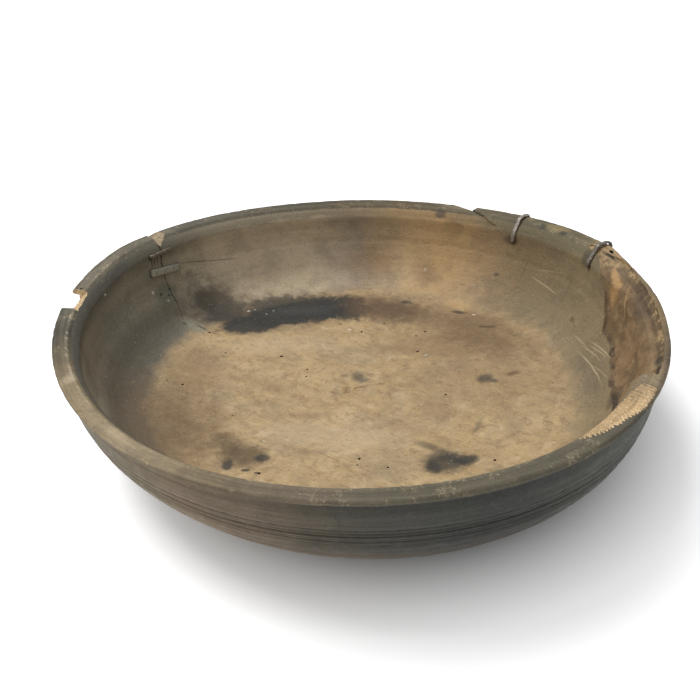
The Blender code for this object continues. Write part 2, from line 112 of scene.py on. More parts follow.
def math_of(tree, operation, first, second=None, third=None, clamp=False):
    """The result of a math node on up to three values."""
    node = add_node(tree, "ShaderNodeMath", operation=operation, use_clamp=clamp)
    for value, socket in zip((first, second, third), node.inputs):
        if value is not None:
            feed(tree, value, socket)
    return node.outputs[0]


def add_object(name, data):
    """An object of the scene for a mesh or lamp."""
    thing = bpy.data.objects.new(name, data)
    scene.collection.objects.link(thing)
    return thing


sheet_mesh = bpy.data.meshes.new("white_sheet")
half_sheet = SHEET_SIZE / 2.0
sheet_corners = [(x * half_sheet, y * half_sheet, 0.0) for x, y in ((-1, -1), (1, -1), (1, 1), (-1, 1))]
sheet_mesh.from_pydata(sheet_corners, [], [(0, 1, 2, 3)])
sheet = add_object("white_sheet", sheet_mesh)
sheet_paper = bpy.data.materials.new("white paper")
sheet_paper.use_nodes = True
paper_tree = sheet_paper.node_tree
paper = paper_tree.nodes["Principled BSDF"]
paper.inputs["Base Color"].default_value = SHEET_COLOR
paper.inputs["Roughness"].default_value = 0.9
paper.inputs["Specular IOR Level"].default_value = 0.0
paper_ray = add_node(paper_tree, "ShaderNodeLightPath")
paper_rays = (paper_ray.outputs["Is Camera Ray"], paper_ray.outputs["Is Glossy Ray"])
paper_seen = math_of(paper_tree, "ADD", *paper_rays, clamp=True)
paper_place = add_node(paper_tree, "ShaderNodeTexCoord")
paper_far = add_node(paper_tree, "ShaderNodeVectorMath", operation="DISTANCE")
feed(paper_tree, paper_place.outputs["Object"], paper_far.inputs[0])
paper_far.inputs[1].default_value = GLOW_MIDDLE
# Painted shade: the sheet's glow is none within GLOW_STARTS of the bowl's middle and full beyond GLOW_ENDS,
# which darkens the shade round the bowl.
paper_fade = add_node(paper_tree, "ShaderNodeMapRange")
feed(paper_tree, paper_far.outputs["Value"], paper_fade.inputs["Value"])
paper_fade.inputs["From Min"].default_value = GLOW_STARTS
paper_fade.inputs["From Max"].default_value = GLOW_ENDS
paper_fade.inputs["To Min"].default_value = SHEET_GLOW_NEAR
paper_fade.inputs["To Max"].default_value = SHEET_GLOW_FAR
paper_glow = math_of(paper_tree, "MULTIPLY", paper_seen, paper_fade.outputs[0])
paper.inputs["Emission Color"].default_value = (1.0, 1.0, 1.0, 1.0)
feed(paper_tree, paper_glow, paper.inputs["Emission Strength"])
sheet_mesh.materials.append(sheet_paper)

air = bpy.data.worlds.new("pale air")
air.use_nodes = True
air_tree = air.node_tree
air_shader = air_tree.nodes["Background"]
air_shader.inputs["Color"].default_value = (1.0, 1.0, 1.0, 1.0)
air_ray = add_node(air_tree, "ShaderNodeLightPath")
air_rays = (air_ray.outputs["Is Camera Ray"], air_ray.outputs["Is Transmission Ray"])
air_seen = math_of(air_tree, "ADD", *air_rays, clamp=True)
air_strength = add_node(air_tree, "ShaderNodeMapRange")
feed(air_tree, air_seen, air_strength.inputs["Value"])
air_strength.inputs["To Min"].default_value = AIR_LIGHT
air_strength.inputs["To Max"].default_value = 1.0
feed(air_tree, air_strength.outputs[0], air_shader.inputs["Strength"])
scene.world = air

lamp_data = bpy.data.lights.new("soft lamp", "AREA")
lamp_data.shape = "DISK"
lamp_data.size = LAMP_SIZE
lamp_data.energy = LAMP_POWER
lamp = add_object("soft lamp", lamp_data)
lamp.location = LAMP_PLACE
lamp.rotation_euler = (-LAMP_PLACE).to_track_quat("-Z", "Y").to_euler()


# The bowl's form as it left the lathe: one piece of hardwood, its section turned round the axis, with a
# lip over a groove, turned lines on the outside and a dished floor. It is laid out round here; the
# breaks are cut next, and then it takes the oval, warped shape that drying gave it.
RIM_RADIUS = 0.170
HEIGHT = 0.0847
FOOT_RADIUS = 0.079
LIP_OVERHANG = 0.0035
LIP_DEPTH = 0.0042
LIP_ROUND = 0.0022
RIM_WIDTH = 0.0090
RIM_ROLL = 0.0060
THROAT_DEPTH = 0.0085
FLOOR_RADIUS = 0.116
FLOOR_DEPTH = 0.055
FLOOR_DISH = 0.0053
UNDER_LIP_GROOVE = 0.0008
SIDE_POWER = 2.75
SIDE_FULLNESS = 0.78
COVE_FULLNESS = 0.46
WALL_RADIUS = RIM_RADIUS - LIP_OVERHANG
THROAT_RADIUS = RIM_RADIUS - RIM_WIDTH - RIM_ROLL
TURN_STEPS = 400
FLOOR_RINGS = 44
COVE_RINGS = 42
ROLL_RINGS = 9
RIM_RINGS = 9
LIP_RINGS = 9
SIDE_RINGS = 56
FOOT_RINGS = 18
ROLL_BULGE = 0.0005
LIP_TURN = 120.0
DEEP_LINE = 0.0003

# Turned lines on the outside, inside and under the foot: where, how deep and how wide, in metres.
OUTSIDE_LINES = (
    (0.0075, 0.00030, 0.0006),
    (0.0104, 0.00016, 0.0005),
    (0.0208, 0.00055, 0.0007),
    (0.0226, 0.00035, 0.0005),
    (0.0247, 0.00060, 0.0006),
    (0.0268, 0.00035, 0.0005),
    (0.0288, 0.00080, 0.0007),
    (0.0312, 0.00040, 0.0006),
    (0.0365, 0.00025, 0.0006),
    (0.0410, 0.00030, 0.0005),
    (0.0475, 0.00025, 0.0006),
    (0.0530, 0.00035, 0.0006),
    (0.0600, 0.00025, 0.0006),
    (0.0680, 0.00030, 0.0007),
)
INSIDE_LINES = (
    (0.0165, 0.00022, 0.0007),
    (0.0258, 0.00030, 0.0008),
    (0.0330, 0.00015, 0.0006),
    (0.0432, 0.00015, 0.0008),
)
FOOT_LINES = (
    (0.071, 0.00070, 0.0010),
    (0.052, 0.00035, 0.0009),
    (0.031, 0.00035, 0.0009),
    (0.012, 0.00050, 0.0016),
)


def outer_radius(drop):
    """Radius of the outside at a drop below the top of the rim, under the lip."""
    share = min(max((drop - LIP_DEPTH) / (HEIGHT - LIP_DEPTH), 0.0), 1.0)
    return FOOT_RADIUS + (WALL_RADIUS - FOOT_RADIUS) * (1.0 - share**SIDE_POWER) ** SIDE_FULLNESS


def inner_radius(drop):
    """Radius of the inside at a drop below the top of the rim, down to the floor."""
    if drop < THROAT_DEPTH:
        return THROAT_RADIUS + RIM_ROLL * (1.0 - max(drop, 0.0) / THROAT_DEPTH)
    share = min((drop - THROAT_DEPTH) / (FLOOR_DEPTH - THROAT_DEPTH), 1.0)
    return FLOOR_RADIUS + (THROAT_RADIUS - FLOOR_RADIUS) * (1.0 - share**2) ** COVE_FULLNESS


def floor_drop(radius):
    """Drop of the floor below the rim at a radius, up the cove where the floor ends."""
    if radius <= FLOOR_RADIUS:
        return FLOOR_DEPTH + FLOOR_DISH * (1.0 - (radius / FLOOR_RADIUS) ** 2)
    share = min((radius - FLOOR_RADIUS) / (THROAT_RADIUS - FLOOR_RADIUS), 1.0)
    return THROAT_DEPTH + (FLOOR_DEPTH - THROAT_DEPTH) * math.sqrt(
        max(1.0 - share ** (1.0 / COVE_FULLNESS), 0.0)
    )


def turned_line(place, lines):
    """How deep the turned lines are at a place along the section."""
    return sum(depth * math.exp(-(((place - at) / width) ** 2)) for at, depth, width in lines)


def turned_section():
    """The half section as (radius, drop), from the middle of the floor over the rim to the foot."""
    section = []
    for i in range(FLOOR_RINGS):
        radius = FLOOR_RADIUS * i / FLOOR_RINGS
        section.append((radius, floor_drop(radius)))
    for i in range(COVE_RINGS + 1):
        share = math.cos(math.radians(90.0 * i / COVE_RINGS))
        drop = THROAT_DEPTH + (FLOOR_DEPTH - THROAT_DEPTH) * share
        section.append((inner_radius(drop) + turned_line(drop, INSIDE_LINES), drop))
    corner = (RIM_RADIUS - RIM_WIDTH, LIP_ROUND / 4.0)
    throat = section[-1]
    for i in range(1, ROLL_RINGS + 1):
        share = i / ROLL_RINGS
        bulge = ROLL_BULGE * math.sin(math.pi * share)
        radius = throat[0] + (corner[0] - throat[0]) * share
        section.append((radius - bulge, throat[1] + (corner[1] - throat[1]) * share - 0.5 * bulge))
    for i in range(1, RIM_RINGS + 1):
        share = i / RIM_RINGS
        section.append((corner[0] + (RIM_WIDTH - LIP_ROUND) * share, corner[1] * (1.0 - share) ** 1.5))
    for i in range(1, LIP_RINGS + 1):
        turn = math.radians(90.0 - LIP_TURN * i / LIP_RINGS)
        radius = RIM_RADIUS - LIP_ROUND + LIP_ROUND * math.cos(turn)
        section.append((radius, LIP_ROUND - LIP_ROUND * math.sin(turn)))
    lip_end = section[-1]
    for share in (0.35, 0.7, 1.0):
        radius = lip_end[0] + (WALL_RADIUS - UNDER_LIP_GROOVE - lip_end[0]) * share
        section.append((radius, lip_end[1] + (LIP_DEPTH - lip_end[1]) * share))
    section.append((WALL_RADIUS - 0.5 * UNDER_LIP_GROOVE, LIP_DEPTH + 0.0009))
    drops = []
    for i in range(2, SIDE_RINGS + 1):
        share = i / SIDE_RINGS
        spread = 0.75 * share + 0.25 * math.sin(math.radians(90.0 * share))
        drops.append(LIP_DEPTH + (HEIGHT - LIP_DEPTH) * spread)
    for line_at, depth, width in OUTSIDE_LINES:
        if depth > DEEP_LINE:
            drops += [line_at - width, line_at, line_at + width]
    section += [(outer_radius(drop) - turned_line(drop, OUTSIDE_LINES), drop) for drop in sorted(drops)]
    for i in range(1, FOOT_RINGS + 1):
        radius = FOOT_RADIUS * (1.0 - i / FOOT_RINGS)
        section.append((radius, HEIGHT - turned_line(radius, FOOT_LINES)))
    return section


SOCKETS = {
    "value": "NodeSocketFloat",
    "whole": "NodeSocketInt",
    "vector": "NodeSocketVector",
    "color": "NodeSocketColor",
    "shape": "NodeSocketGeometry",
    "material": "NodeSocketMaterial",
}


def new_group(name, kind, inputs, outputs):
    """A node group with named inputs and outputs, and its two end nodes."""
    group = bpy.data.node_groups.new(name, kind)
    for label, sort, start in inputs:
        socket = group.interface.new_socket(label, in_out="INPUT", socket_type=SOCKETS[sort])
        if start is not None:
            socket.default_value = start
    for label, sort in outputs:
        group.interface.new_socket(label, in_out="OUTPUT", socket_type=SOCKETS[sort])
    return group, add_node(group, "NodeGroupInput"), add_node(group, "NodeGroupOutput")


def hand_out(tree, shape, given, result):
    """Ends a tree: its instances are made real and get the wood, and the result is handed out."""
    real = add_node(tree, "GeometryNodeRealizeInstances")
    feed(tree, shape, real.inputs[0])
    wooden = add_node(tree, "GeometryNodeSetMaterial")
    feed(tree, real.outputs[0], wooden.inputs["Geometry"])
    feed(tree, given.outputs["Wood"], wooden.inputs["Material"])
    feed(tree, wooden.outputs[0], result.inputs[0])


WELD_DISTANCE = 0.000002


def turning_tree():
    """Node tree that turns a section round the axis into a closed body."""
    tree, given, result = new_group(
        "turn a section",
        "GeometryNodeTree",
        (
            ("Section", "shape", None),
            ("Section points", "whole", 100),
            ("Steps round", "whole", 96),
            ("Wood", "material", None),
        ),
        (("Turned body", "shape"),),
    )
    grid = add_node(tree, "GeometryNodeMeshGrid")
    feed(tree, 1.0, grid.inputs["Size X"])
    feed(tree, 1.0, grid.inputs["Size Y"])
    feed(tree, math_of(tree, "ADD", given.outputs["Steps round"], 1.0), grid.inputs["Vertices X"])
    feed(tree, given.outputs["Section points"], grid.inputs["Vertices Y"])
    place = add_node(tree, "GeometryNodeInputPosition")
    split = add_node(tree, "ShaderNodeSeparateXYZ")
    feed(tree, place.outputs[0], split.inputs[0])
    around = math_of(tree, "MULTIPLY", math_of(tree, "ADD", split.outputs["X"], 0.5), math.tau)
    last = math_of(tree, "SUBTRACT", given.outputs["Section points"], 1.0)
    along = math_of(tree, "MULTIPLY", math_of(tree, "ADD", split.outputs["Y"], 0.5), last)
    along = math_of(tree, "ROUND", along)
    sample = add_node(tree, "GeometryNodeSampleIndex", data_type="FLOAT_VECTOR", domain="POINT")
    feed(tree, given.outputs["Section"], sample.inputs["Geometry"])
    feed(tree, place.outputs[0], sample.inputs["Value"])
    feed(tree, along, sample.inputs["Index"])
    point = add_node(tree, "ShaderNodeSeparateXYZ")
    feed(tree, sample.outputs[0], point.inputs[0])
    turned = add_node(tree, "ShaderNodeCombineXYZ")
    for axis, wave in (("X", "COSINE"), ("Y", "SINE")):
        reach = math_of(tree, "MULTIPLY", point.outputs["X"], math_of(tree, wave, around))
        feed(tree, reach, turned.inputs[axis])
    feed(tree, point.outputs["Z"], turned.inputs["Z"])
    placed = add_node(tree, "GeometryNodeSetPosition")
    feed(tree, grid.outputs["Mesh"], placed.inputs["Geometry"])
    feed(tree, turned.outputs[0], placed.inputs["Position"])
    merged = add_node(tree, "GeometryNodeMergeByDistance")
    feed(tree, placed.outputs[0], merged.inputs["Geometry"])
    feed(tree, WELD_DISTANCE, merged.inputs["Distance"])
    hand_out(tree, merged.outputs[0], given, result)
    return tree


def run_tree(thing, tree, **values):
    """Puts a node tree on an object with its inputs set by name."""
    modifier = thing.modifiers.new(tree.name, "NODES")
    modifier.node_group = tree
    for item in tree.interface.items_tree:
        name = item.name.replace(" ", "_").lower()
        if item.in_out == "INPUT" and name in values:
            modifier[item.identifier] = values[name]
    return modifier


def made_plain(thing, name):
    """The evaluated object as a plain mesh."""
    graph = bpy.context.evaluated_depsgraph_get()
    mesh = bpy.data.meshes.new_from_object(thing.evaluated_get(graph), depsgraph=graph)
    mesh.name = name
    return mesh


def mark_faces(mesh, fresh=0.0, torn=0.0, burrow=0.0):
    """Marks every face of a mesh with the kind of surface that it is."""
    for name, value in (("fresh", fresh), ("torn", torn), ("burrow", burrow)):
        if name in mesh.attributes:
            mesh.attributes.remove(mesh.attributes[name])
        mark = mesh.attributes.new(name, "FLOAT", "FACE")
        mark.data.foreach_set("value", [value] * len(mesh.polygons))


aged_wood = bpy.data.materials.new("aged wood")
section = turned_section()
section_mesh = bpy.data.meshes.new("turned section")
section_mesh.from_pydata([(radius, 0.0, HEIGHT - drop) for radius, drop in section], [], [])
blank = add_object("bowl blank", section_mesh)
run_tree(blank, turning_tree(), section_points=len(section), steps_round=TURN_STEPS, wood=aged_wood)
turned_mesh = made_plain(blank, "turned bowl")
bpy.data.objects.remove(blank)
bm = bmesh.new()
bm.from_mesh(turned_mesh)
bmesh.ops.recalc_face_normals(bm, faces=bm.faces[:])
bmesh.ops.triangulate(bm, faces=bm.faces[:])
bm.to_mesh(turned_mesh)
bm.free()
mark_faces(turned_mesh)
bowl_blank = add_object("bowl blank", turned_mesh)


# The breaks: a long crack, lost pieces of lip, a split, a torn layer, a gnawed bevel and worm holes. Each
# is cut out of the turned form by a body with a ragged face. Pale wood shows in the young ones.
GRAIN_ANGLE = math.radians(-40.0)
CRACK_WIDTH_TOP = 0.0015
CRACK_WIDTH_END = 0.0003
CRACK_INNER_END = 0.008
CRACK_OUTER_END = 0.014
CRACK_LINE = (
    (-0.010, 137.6),
    (0.000, 138.2),
    (0.0056, 138.5),
    (0.015, 139.1),
    (0.026, 139.4),
    (0.035, 139.4),
    (0.042, 139.6),
    (0.048, 140.5),
    (0.0525, 142.6),
)
ABOVE_RIM = 0.012
BEYOND_RIM = RIM_RADIUS + 0.015
INSIDE_THROAT = THROAT_RADIUS - 0.006

breaks = bpy.data.collections.new("breaks")
scene.collection.children.link(breaks)


def at(radius, angle, drop):
    """A point of the round bowl from its radius, its angle in radians and its drop below the rim."""
    return Vector((radius * math.cos(angle), radius * math.sin(angle), HEIGHT - drop))


def rough(point, grain, stretch=1.0):
    """Smooth noise from -1 to 1 with a grain size, drawn out along the wood's fibres."""
    along = math.cos(GRAIN_ANGLE) * point.x + math.sin(GRAIN_ANGLE) * point.y
    across = math.cos(GRAIN_ANGLE) * point.y - math.sin(GRAIN_ANGLE) * point.x
    return noise.noise(Vector((along / stretch, across, point.z)) / grain)


def ramp(value, table):
    """Smooth steps through a table of (place, number, ...) rows, as a tuple of the numbers."""
    if value <= table[0][0]:
        return table[0][1:]
    for low, high in zip(table[:-1], table[1:]):
        if value <= high[0]:
            share = (value - low[0]) / (high[0] - low[0])
            return tuple(a + (b - a) * share for a, b in zip(low[1:], high[1:]))
    return table[-1][1:]


def closed_mesh(name, loops, triangles=False):
    """A closed mesh through loops of equally many points, with a face over each end."""
    bm = bmesh.new()
    rings = [[bm.verts.new(point) for point in loop] for loop in loops]
    count = len(rings[0])
    for low, high in zip(rings[:-1], rings[1:]):
        for i in range(count):
            j = (i + 1) % count
            bm.faces.new((low[i], low[j], high[j], high[i]))
    bm.faces.new(rings[0])
    bm.faces.new(rings[-1])
    bmesh.ops.recalc_face_normals(bm, faces=bm.faces[:])
    if triangles:
        bmesh.ops.triangulate(bm, faces=bm.faces[:])
    mesh = bpy.data.meshes.new(name)
    bm.to_mesh(mesh)
    bm.free()
    return mesh


def break_body(name, loops, fresh=0.0, torn=0.0, burrow=0.0):
    """A closed body to cut out of the bowl, marked with the kind of surface that it leaves."""
    mesh = closed_mesh(name, loops, triangles=True)
    mark_faces(mesh, fresh, torn, burrow)
    mesh.materials.append(aged_wood)
    breaks.objects.link(bpy.data.objects.new(name, mesh))


def steps(first, last, count):
    """Evenly spaced numbers from first to last, both with them."""
    return [first + (last - first) * i / count for i in range(count + 1)]


def long_crack():
    """The long crack in the left wall, widest at the rim, with a ragged course."""
    loops = []
    bottom = CRACK_LINE[-1][0]
    for drop in steps(CRACK_LINE[0][0], bottom, 60):
        share = max(drop / bottom, 0.0)
        (angle,) = ramp(drop, CRACK_LINE)
        width = CRACK_WIDTH_TOP + (CRACK_WIDTH_END - CRACK_WIDTH_TOP) * min(2.2 * share, 1.0)
        inside = FLOOR_RADIUS + CRACK_INNER_END
        low_outside = FLOOR_RADIUS + CRACK_OUTER_END
        outside = BEYOND_RIM - (BEYOND_RIM - low_outside) * max(share - 0.5, 0.0) * 2.0
        left, right = [], []
        for radius in steps(inside, outside, 14):
            point = at(radius, math.radians(angle), drop)
            wander = 0.0007 * rough(point, 0.009) + 0.00025 * rough(point, 0.0022)
            open_by = 0.5 * width * (1.0 + 0.45 * rough(point, 0.0035))
            left.append(at(radius, math.radians(angle) + (wander + open_by) / radius, drop))
            right.append(at(radius, math.radians(angle) + (wander - open_by) / radius, drop))
        loops.append(left + right[::-1])
    break_body("long crack", loops, torn=0.6)


CORNER_FROM = 138.2
CORNER_SPAN = 3.6
CORNER_INNER_DEPTH = 0.0062
CORNER_OUTER_DEPTH = 0.0021


def crack_corner():
    """The corner of the rim lost on the right of the crack: a pale facet, deepest at the inner edge."""
    loops = []
    for share in steps(-0.12, 1.0, 20):
        angle = math.radians(CORNER_FROM - CORNER_SPAN * share)
        loop = []
        for radius in steps(INSIDE_THROAT, BEYOND_RIM, 26):
            outward = min(max((radius - THROAT_RADIUS) / (RIM_RADIUS - THROAT_RADIUS), 0.0), 1.0)
            inner_depth = CORNER_INNER_DEPTH * (1.0 - share) - 0.0004
            outer_depth = CORNER_OUTER_DEPTH * (1.0 - share / 0.62) - 0.0001
            depth = inner_depth + (outer_depth - inner_depth) * outward
            point = at(radius, angle, depth)
            loop.append(at(radius, angle, depth + 0.00035 * rough(point, 0.0016, 2.0)))
        loop += [at(BEYOND_RIM, angle, -ABOVE_RIM), at(INSIDE_THROAT, angle, -ABOVE_RIM)]
        loops.append(loop)
    break_body("crack corner", loops, fresh=0.45)


NOTCH_BITE = 0.0068
NOTCH_FOOT = 0.0102
NOTCH_OUTLINE = (
    (163.5, 0.0, 0.0018),
    (166.9, 0.0008, 0.0),
    (169.2, 0.0018, 0.0004),
    (170.3, 0.0030, 0.0012),
)


def lost_lip():
    """The piece of lip lost at the left: a shelf that slopes outward from the rim's inner edge."""
    loops = []
    for degrees in steps(NOTCH_OUTLINE[0][0], NOTCH_OUTLINE[-1][0], 24):
        angle = math.radians(degrees)
        reach, start = ramp(degrees, NOTCH_OUTLINE)
        line = (
            (THROAT_RADIUS + 0.0007 + start, 0.0018),
            (THROAT_RADIUS + 0.0040 + start, 0.0026),
            (RIM_RADIUS - NOTCH_BITE + reach, 0.0045),
            (RIM_RADIUS - NOTCH_BITE + 0.0012 + reach, 0.0082),
            (BEYOND_RIM, NOTCH_FOOT),
        )
        loop = [at(line[0][0], angle, -ABOVE_RIM)]
        for (r0, d0), (r1, d1) in zip(line[:-1], line[1:]):
            for share in steps(0.0, 0.875, 7):
                point = at(r0 + (r1 - r0) * share, angle, d0 + (d1 - d0) * share)
                ragged = 0.0005 * rough(point, 0.0022, 2.5) + 0.0002 * rough(point, 0.0008, 3.0)
                loop.append(point + Vector((math.cos(angle) * 0.6, math.sin(angle) * 0.6, 1.0)) * ragged)
        loop += [at(BEYOND_RIM, angle, NOTCH_FOOT), at(BEYOND_RIM, angle, -ABOVE_RIM)]
        loops.append(loop)
    break_body("lost lip", loops, fresh=1.0)


def back_split():
    """The split along the grain at the back, from the lost splinter to the staple."""
    first = at(RIM_RADIUS - 0.0060, math.radians(53.4), 0.0)
    last = at(THROAT_RADIUS - 0.0010, math.radians(39.5), 0.0)
    along = (last - first).normalized()
    aside = along.cross(Vector((0.0, 0.0, 1.0)))
    loops = []
    for share in steps(0.0, 1.0, 40):
        middle = first.lerp(last, share)
        wander = aside * (0.00045 * rough(middle, 0.006) + 0.0002 * rough(middle, 0.0015))
        half = aside * (0.00042 - 0.00018 * share) * (1.0 + 0.5 * rough(middle, 0.002))
        low = Vector((0.0, 0.0, -0.0085 + 0.003 * share))
        high = Vector((0.0, 0.0, ABOVE_RIM))
        near, far = middle + wander - half, middle + wander + half
        loops.append([near + low, far + low, far + high, near + high])
    break_body("back split", loops, torn=0.6)


SPLINTER_FROM = 52.8
SPLINTER_TO = 59.7
SPLINTER_WIDTH = 0.0065
SPLINTER_DEPTH = 0.0095


def lost_splinter():
    """The splinter lost from the lip where the split comes out at its edge."""
    loops = []
    for drop in steps(-ABOVE_RIM, SPLINTER_DEPTH, 26):
        back = -0.0010 + 0.0032 * max(drop, 0.0) / SPLINTER_DEPTH
        loop = []
        for share in steps(0.0, 1.0, 22):
            angle = math.radians(SPLINTER_FROM + (SPLINTER_TO - SPLINTER_FROM) * share)
            radius = RIM_RADIUS - SPLINTER_WIDTH + SPLINTER_WIDTH * share + back
            ragged = 0.00035 * rough(at(radius, angle, drop), 0.002, 3.0)
            loop.append(at(radius + ragged, angle, drop))
        for degrees in (SPLINTER_TO, SPLINTER_FROM - 2.0):
            loop.append(at(BEYOND_RIM, math.radians(degrees), drop))
        loops.append(loop)
    break_body("lost splinter", loops, fresh=0.45, torn=0.3)


# The torn layer round the bowl: direction in degrees, its drop, the rim lost there and the top lost.
TEAR_THICKNESS = 0.0024
TEAR_PATH = (
    (-33.5, 0.0350, 0.0048, 0.0008),
    (-27.2, 0.0355, 0.0052, 0.0005),
    (-18.8, 0.0390, 0.0052, 0.0004),
    (-14.9, 0.0370, 0.0050, 0.0004),
    (-7.3, 0.0320, 0.0045, 0.0004),
    (-2.1, 0.0320, 0.0050, 0.0004),
    (-0.1, 0.0260, 0.0056, 0.0006),
    (1.5, 0.0220, 0.0060, 0.0008),
    (2.8, 0.0170, 0.0064, 0.0010),
    (4.0, 0.0125, 0.0068, 0.0012),
    (6.2, 0.0085, 0.0060, 0.0009),
    (8.4, 0.0050, 0.0020, 0.0005),
    (10.6, 0.0030, 0.0005, 0.0004),
    (14.5, 0.0020, 0.0003, 0.0004),
)


def torn_drop(degrees):
    """How far down the torn layer reaches at an angle, with its ragged lower edge."""
    ragged = 0.0011 * noise.noise(Vector((degrees * 0.55, 3.1, 0.0)))
    ragged += 0.0005 * noise.noise(Vector((degrees * 2.1, 7.7, 0.0)))
    drop, loss, low = ramp(degrees, TEAR_PATH)
    return drop + ragged * min(drop / 0.012, 1.0), loss, low


def torn_layer():
    """The layer torn off the inside at the right: stepped along the fibres, deepest at the rim."""
    loops = []
    for degrees in steps(TEAR_PATH[-1][0], TEAR_PATH[0][0], 110):
        angle = math.radians(degrees)
        drop, loss, low = torn_drop(degrees)
        fade = min(drop / 0.022, 1.0)
        edge = RIM_RADIUS - RIM_WIDTH + loss + 0.0005 * noise.noise(Vector((degrees * 0.9, 1.3, 0.0)))
        loop = [at(FLOOR_RADIUS, angle, -ABOVE_RIM), at(FLOOR_RADIUS, angle, drop)]
        for up in steps(0.0, 1.0, 34):
            here = drop + (low + 0.001 - drop) * up
            depth = TEAR_THICKNESS * (0.62 + 0.5 * math.sin(math.pi * min(up * 1.1, 1.0))) * fade
            skin = inner_radius(here) + depth
            lean = max((up - 0.55) / 0.45, 0.0) ** 1.6
            radius = skin + (edge - skin) * lean
            point = at(radius, angle, here)
            ragged = 0.00055 * rough(point, 0.006, 3.0) + 0.00022 * rough(point, 0.0021, 4.0)
            ragged += 0.00010 * rough(point, 0.0009, 3.0)
            loop.append(at(radius + ragged * min(fade * 1.5, 1.0), angle, here))
        loop.append(at(edge + 0.0015, angle, -ABOVE_RIM))
        loops.append(loop)
    break_body("torn layer", loops, torn=1.0)


# The gnawed bevel round the rim: direction in degrees, the radius of its outer edge and its depth at its
# foot; then the tooth marks' pace round the rim.
GNAW_EDGE = (
    (-55.6, 0.1610, 0.0016),
    (-53.5, 0.1630, 0.0034),
    (-51.0, 0.1646, 0.0041),
    (-46.0, 0.1664, 0.0046),
    (-41.3, 0.1690, 0.0044),
    (-38.0, 0.1700, 0.0026),
    (-35.5, 0.1690, -0.0004),
)
GNAW_FOOT = 0.1585
GNAW_SLANT = math.radians(2.2)
TOOTH_MARKS = 8.2


def gnawed_bevel():
    """The gnawed bevel at the front right, with the tooth marks across it."""
    loops = []
    for degrees in steps(GNAW_EDGE[0][0], GNAW_EDGE[-1][0], 200):
        angle = math.radians(degrees)
        line, foot_depth = ramp(degrees, GNAW_EDGE)
        slope = foot_depth / (line - GNAW_FOOT)
        slant_of = GNAW_SLANT / (RIM_RADIUS - THROAT_RADIUS)
        marks = math.sin(degrees * TOOTH_MARKS + 2.6 * noise.noise(Vector((degrees * 0.6, 0.3, 0.0))))
        bite = 0.00055 * marks * (0.7 + 0.6 * noise.noise(Vector((degrees * 1.5, 5.3, 0.0))))
        line += 0.00050 * marks + 0.0005 * noise.noise(Vector((degrees * 0.9, 2.3, 0.0)))
        loop = []
        for reach in steps(0.0, 1.0, 24):
            radius = INSIDE_THROAT + (line - INSIDE_THROAT) * reach
            depth = slope * (line - radius)
            point = at(radius, angle, depth)
            ragged = 0.00016 * rough(point, 0.0018) + bite * (0.30 + 0.70 * math.sin(math.pi * reach))
            slant = slant_of * (radius - THROAT_RADIUS)
            loop.append(at(radius, angle - slant, depth + ragged + 0.0001))
        loop += [at(line + 0.002, angle - slant, -ABOVE_RIM), at(INSIDE_THROAT, angle, -ABOVE_RIM)]
        loops.append(loop)
    break_body("gnawed bevel", loops, fresh=1.0)


KNOT_PLACE = (0.1652, math.radians(9.4))
KNOT_HALF_SIZES = (0.0009, 0.0016)
KNOT_SIDES = 14


def knot_hole():
    """The small knot hole in the broken block at the right."""
    middle = at(*KNOT_PLACE, 0.0)
    loops = []
    for rise in (-0.0105, 0.004):
        loop = []
        for i in range(KNOT_SIDES):
            turn = math.tau * i / KNOT_SIDES
            x, y = KNOT_HALF_SIZES[0] * math.cos(turn), KNOT_HALF_SIZES[1] * math.sin(turn)
            loop.append(middle + Vector((x, y, rise)))
        loops.append(loop)
    break_body("knot hole", loops, burrow=1.0)


BURROW_RADIUS = 0.00062
BURROW_DEPTH = 0.0045
BURROW_TILT = 0.5
FLOOR_BURROWS = (
    (-75.0, 47.0, 0.8), (-40.7, 40.6, 1.2), (11.6, 69.0, 1.2), (49.7, 56.2, 1.1), (56.6, 60.0, 1.1),
    (47.9, 36.1, 1.1), (55.3, -15.8, 1.0), (-101.0, 17.0, 1.1), (-73.2, -16.4, 0.7), (-86.9, 71.4, 1.2),
    (-2.7, 80.0, 1.0), (28.9, 77.3, 1.0), (-25.0, 24.0, 0.9), (-25.5, 15.9, 0.8), (1.7, -70.0, 1.2),
    (0.3, -75.5, 0.8), (16.1, -78.4, 0.9), (69.4, -79.8, 1.2), (-57.0, -80.0, 1.3), (-110.4, 21.7, 0.6),
)


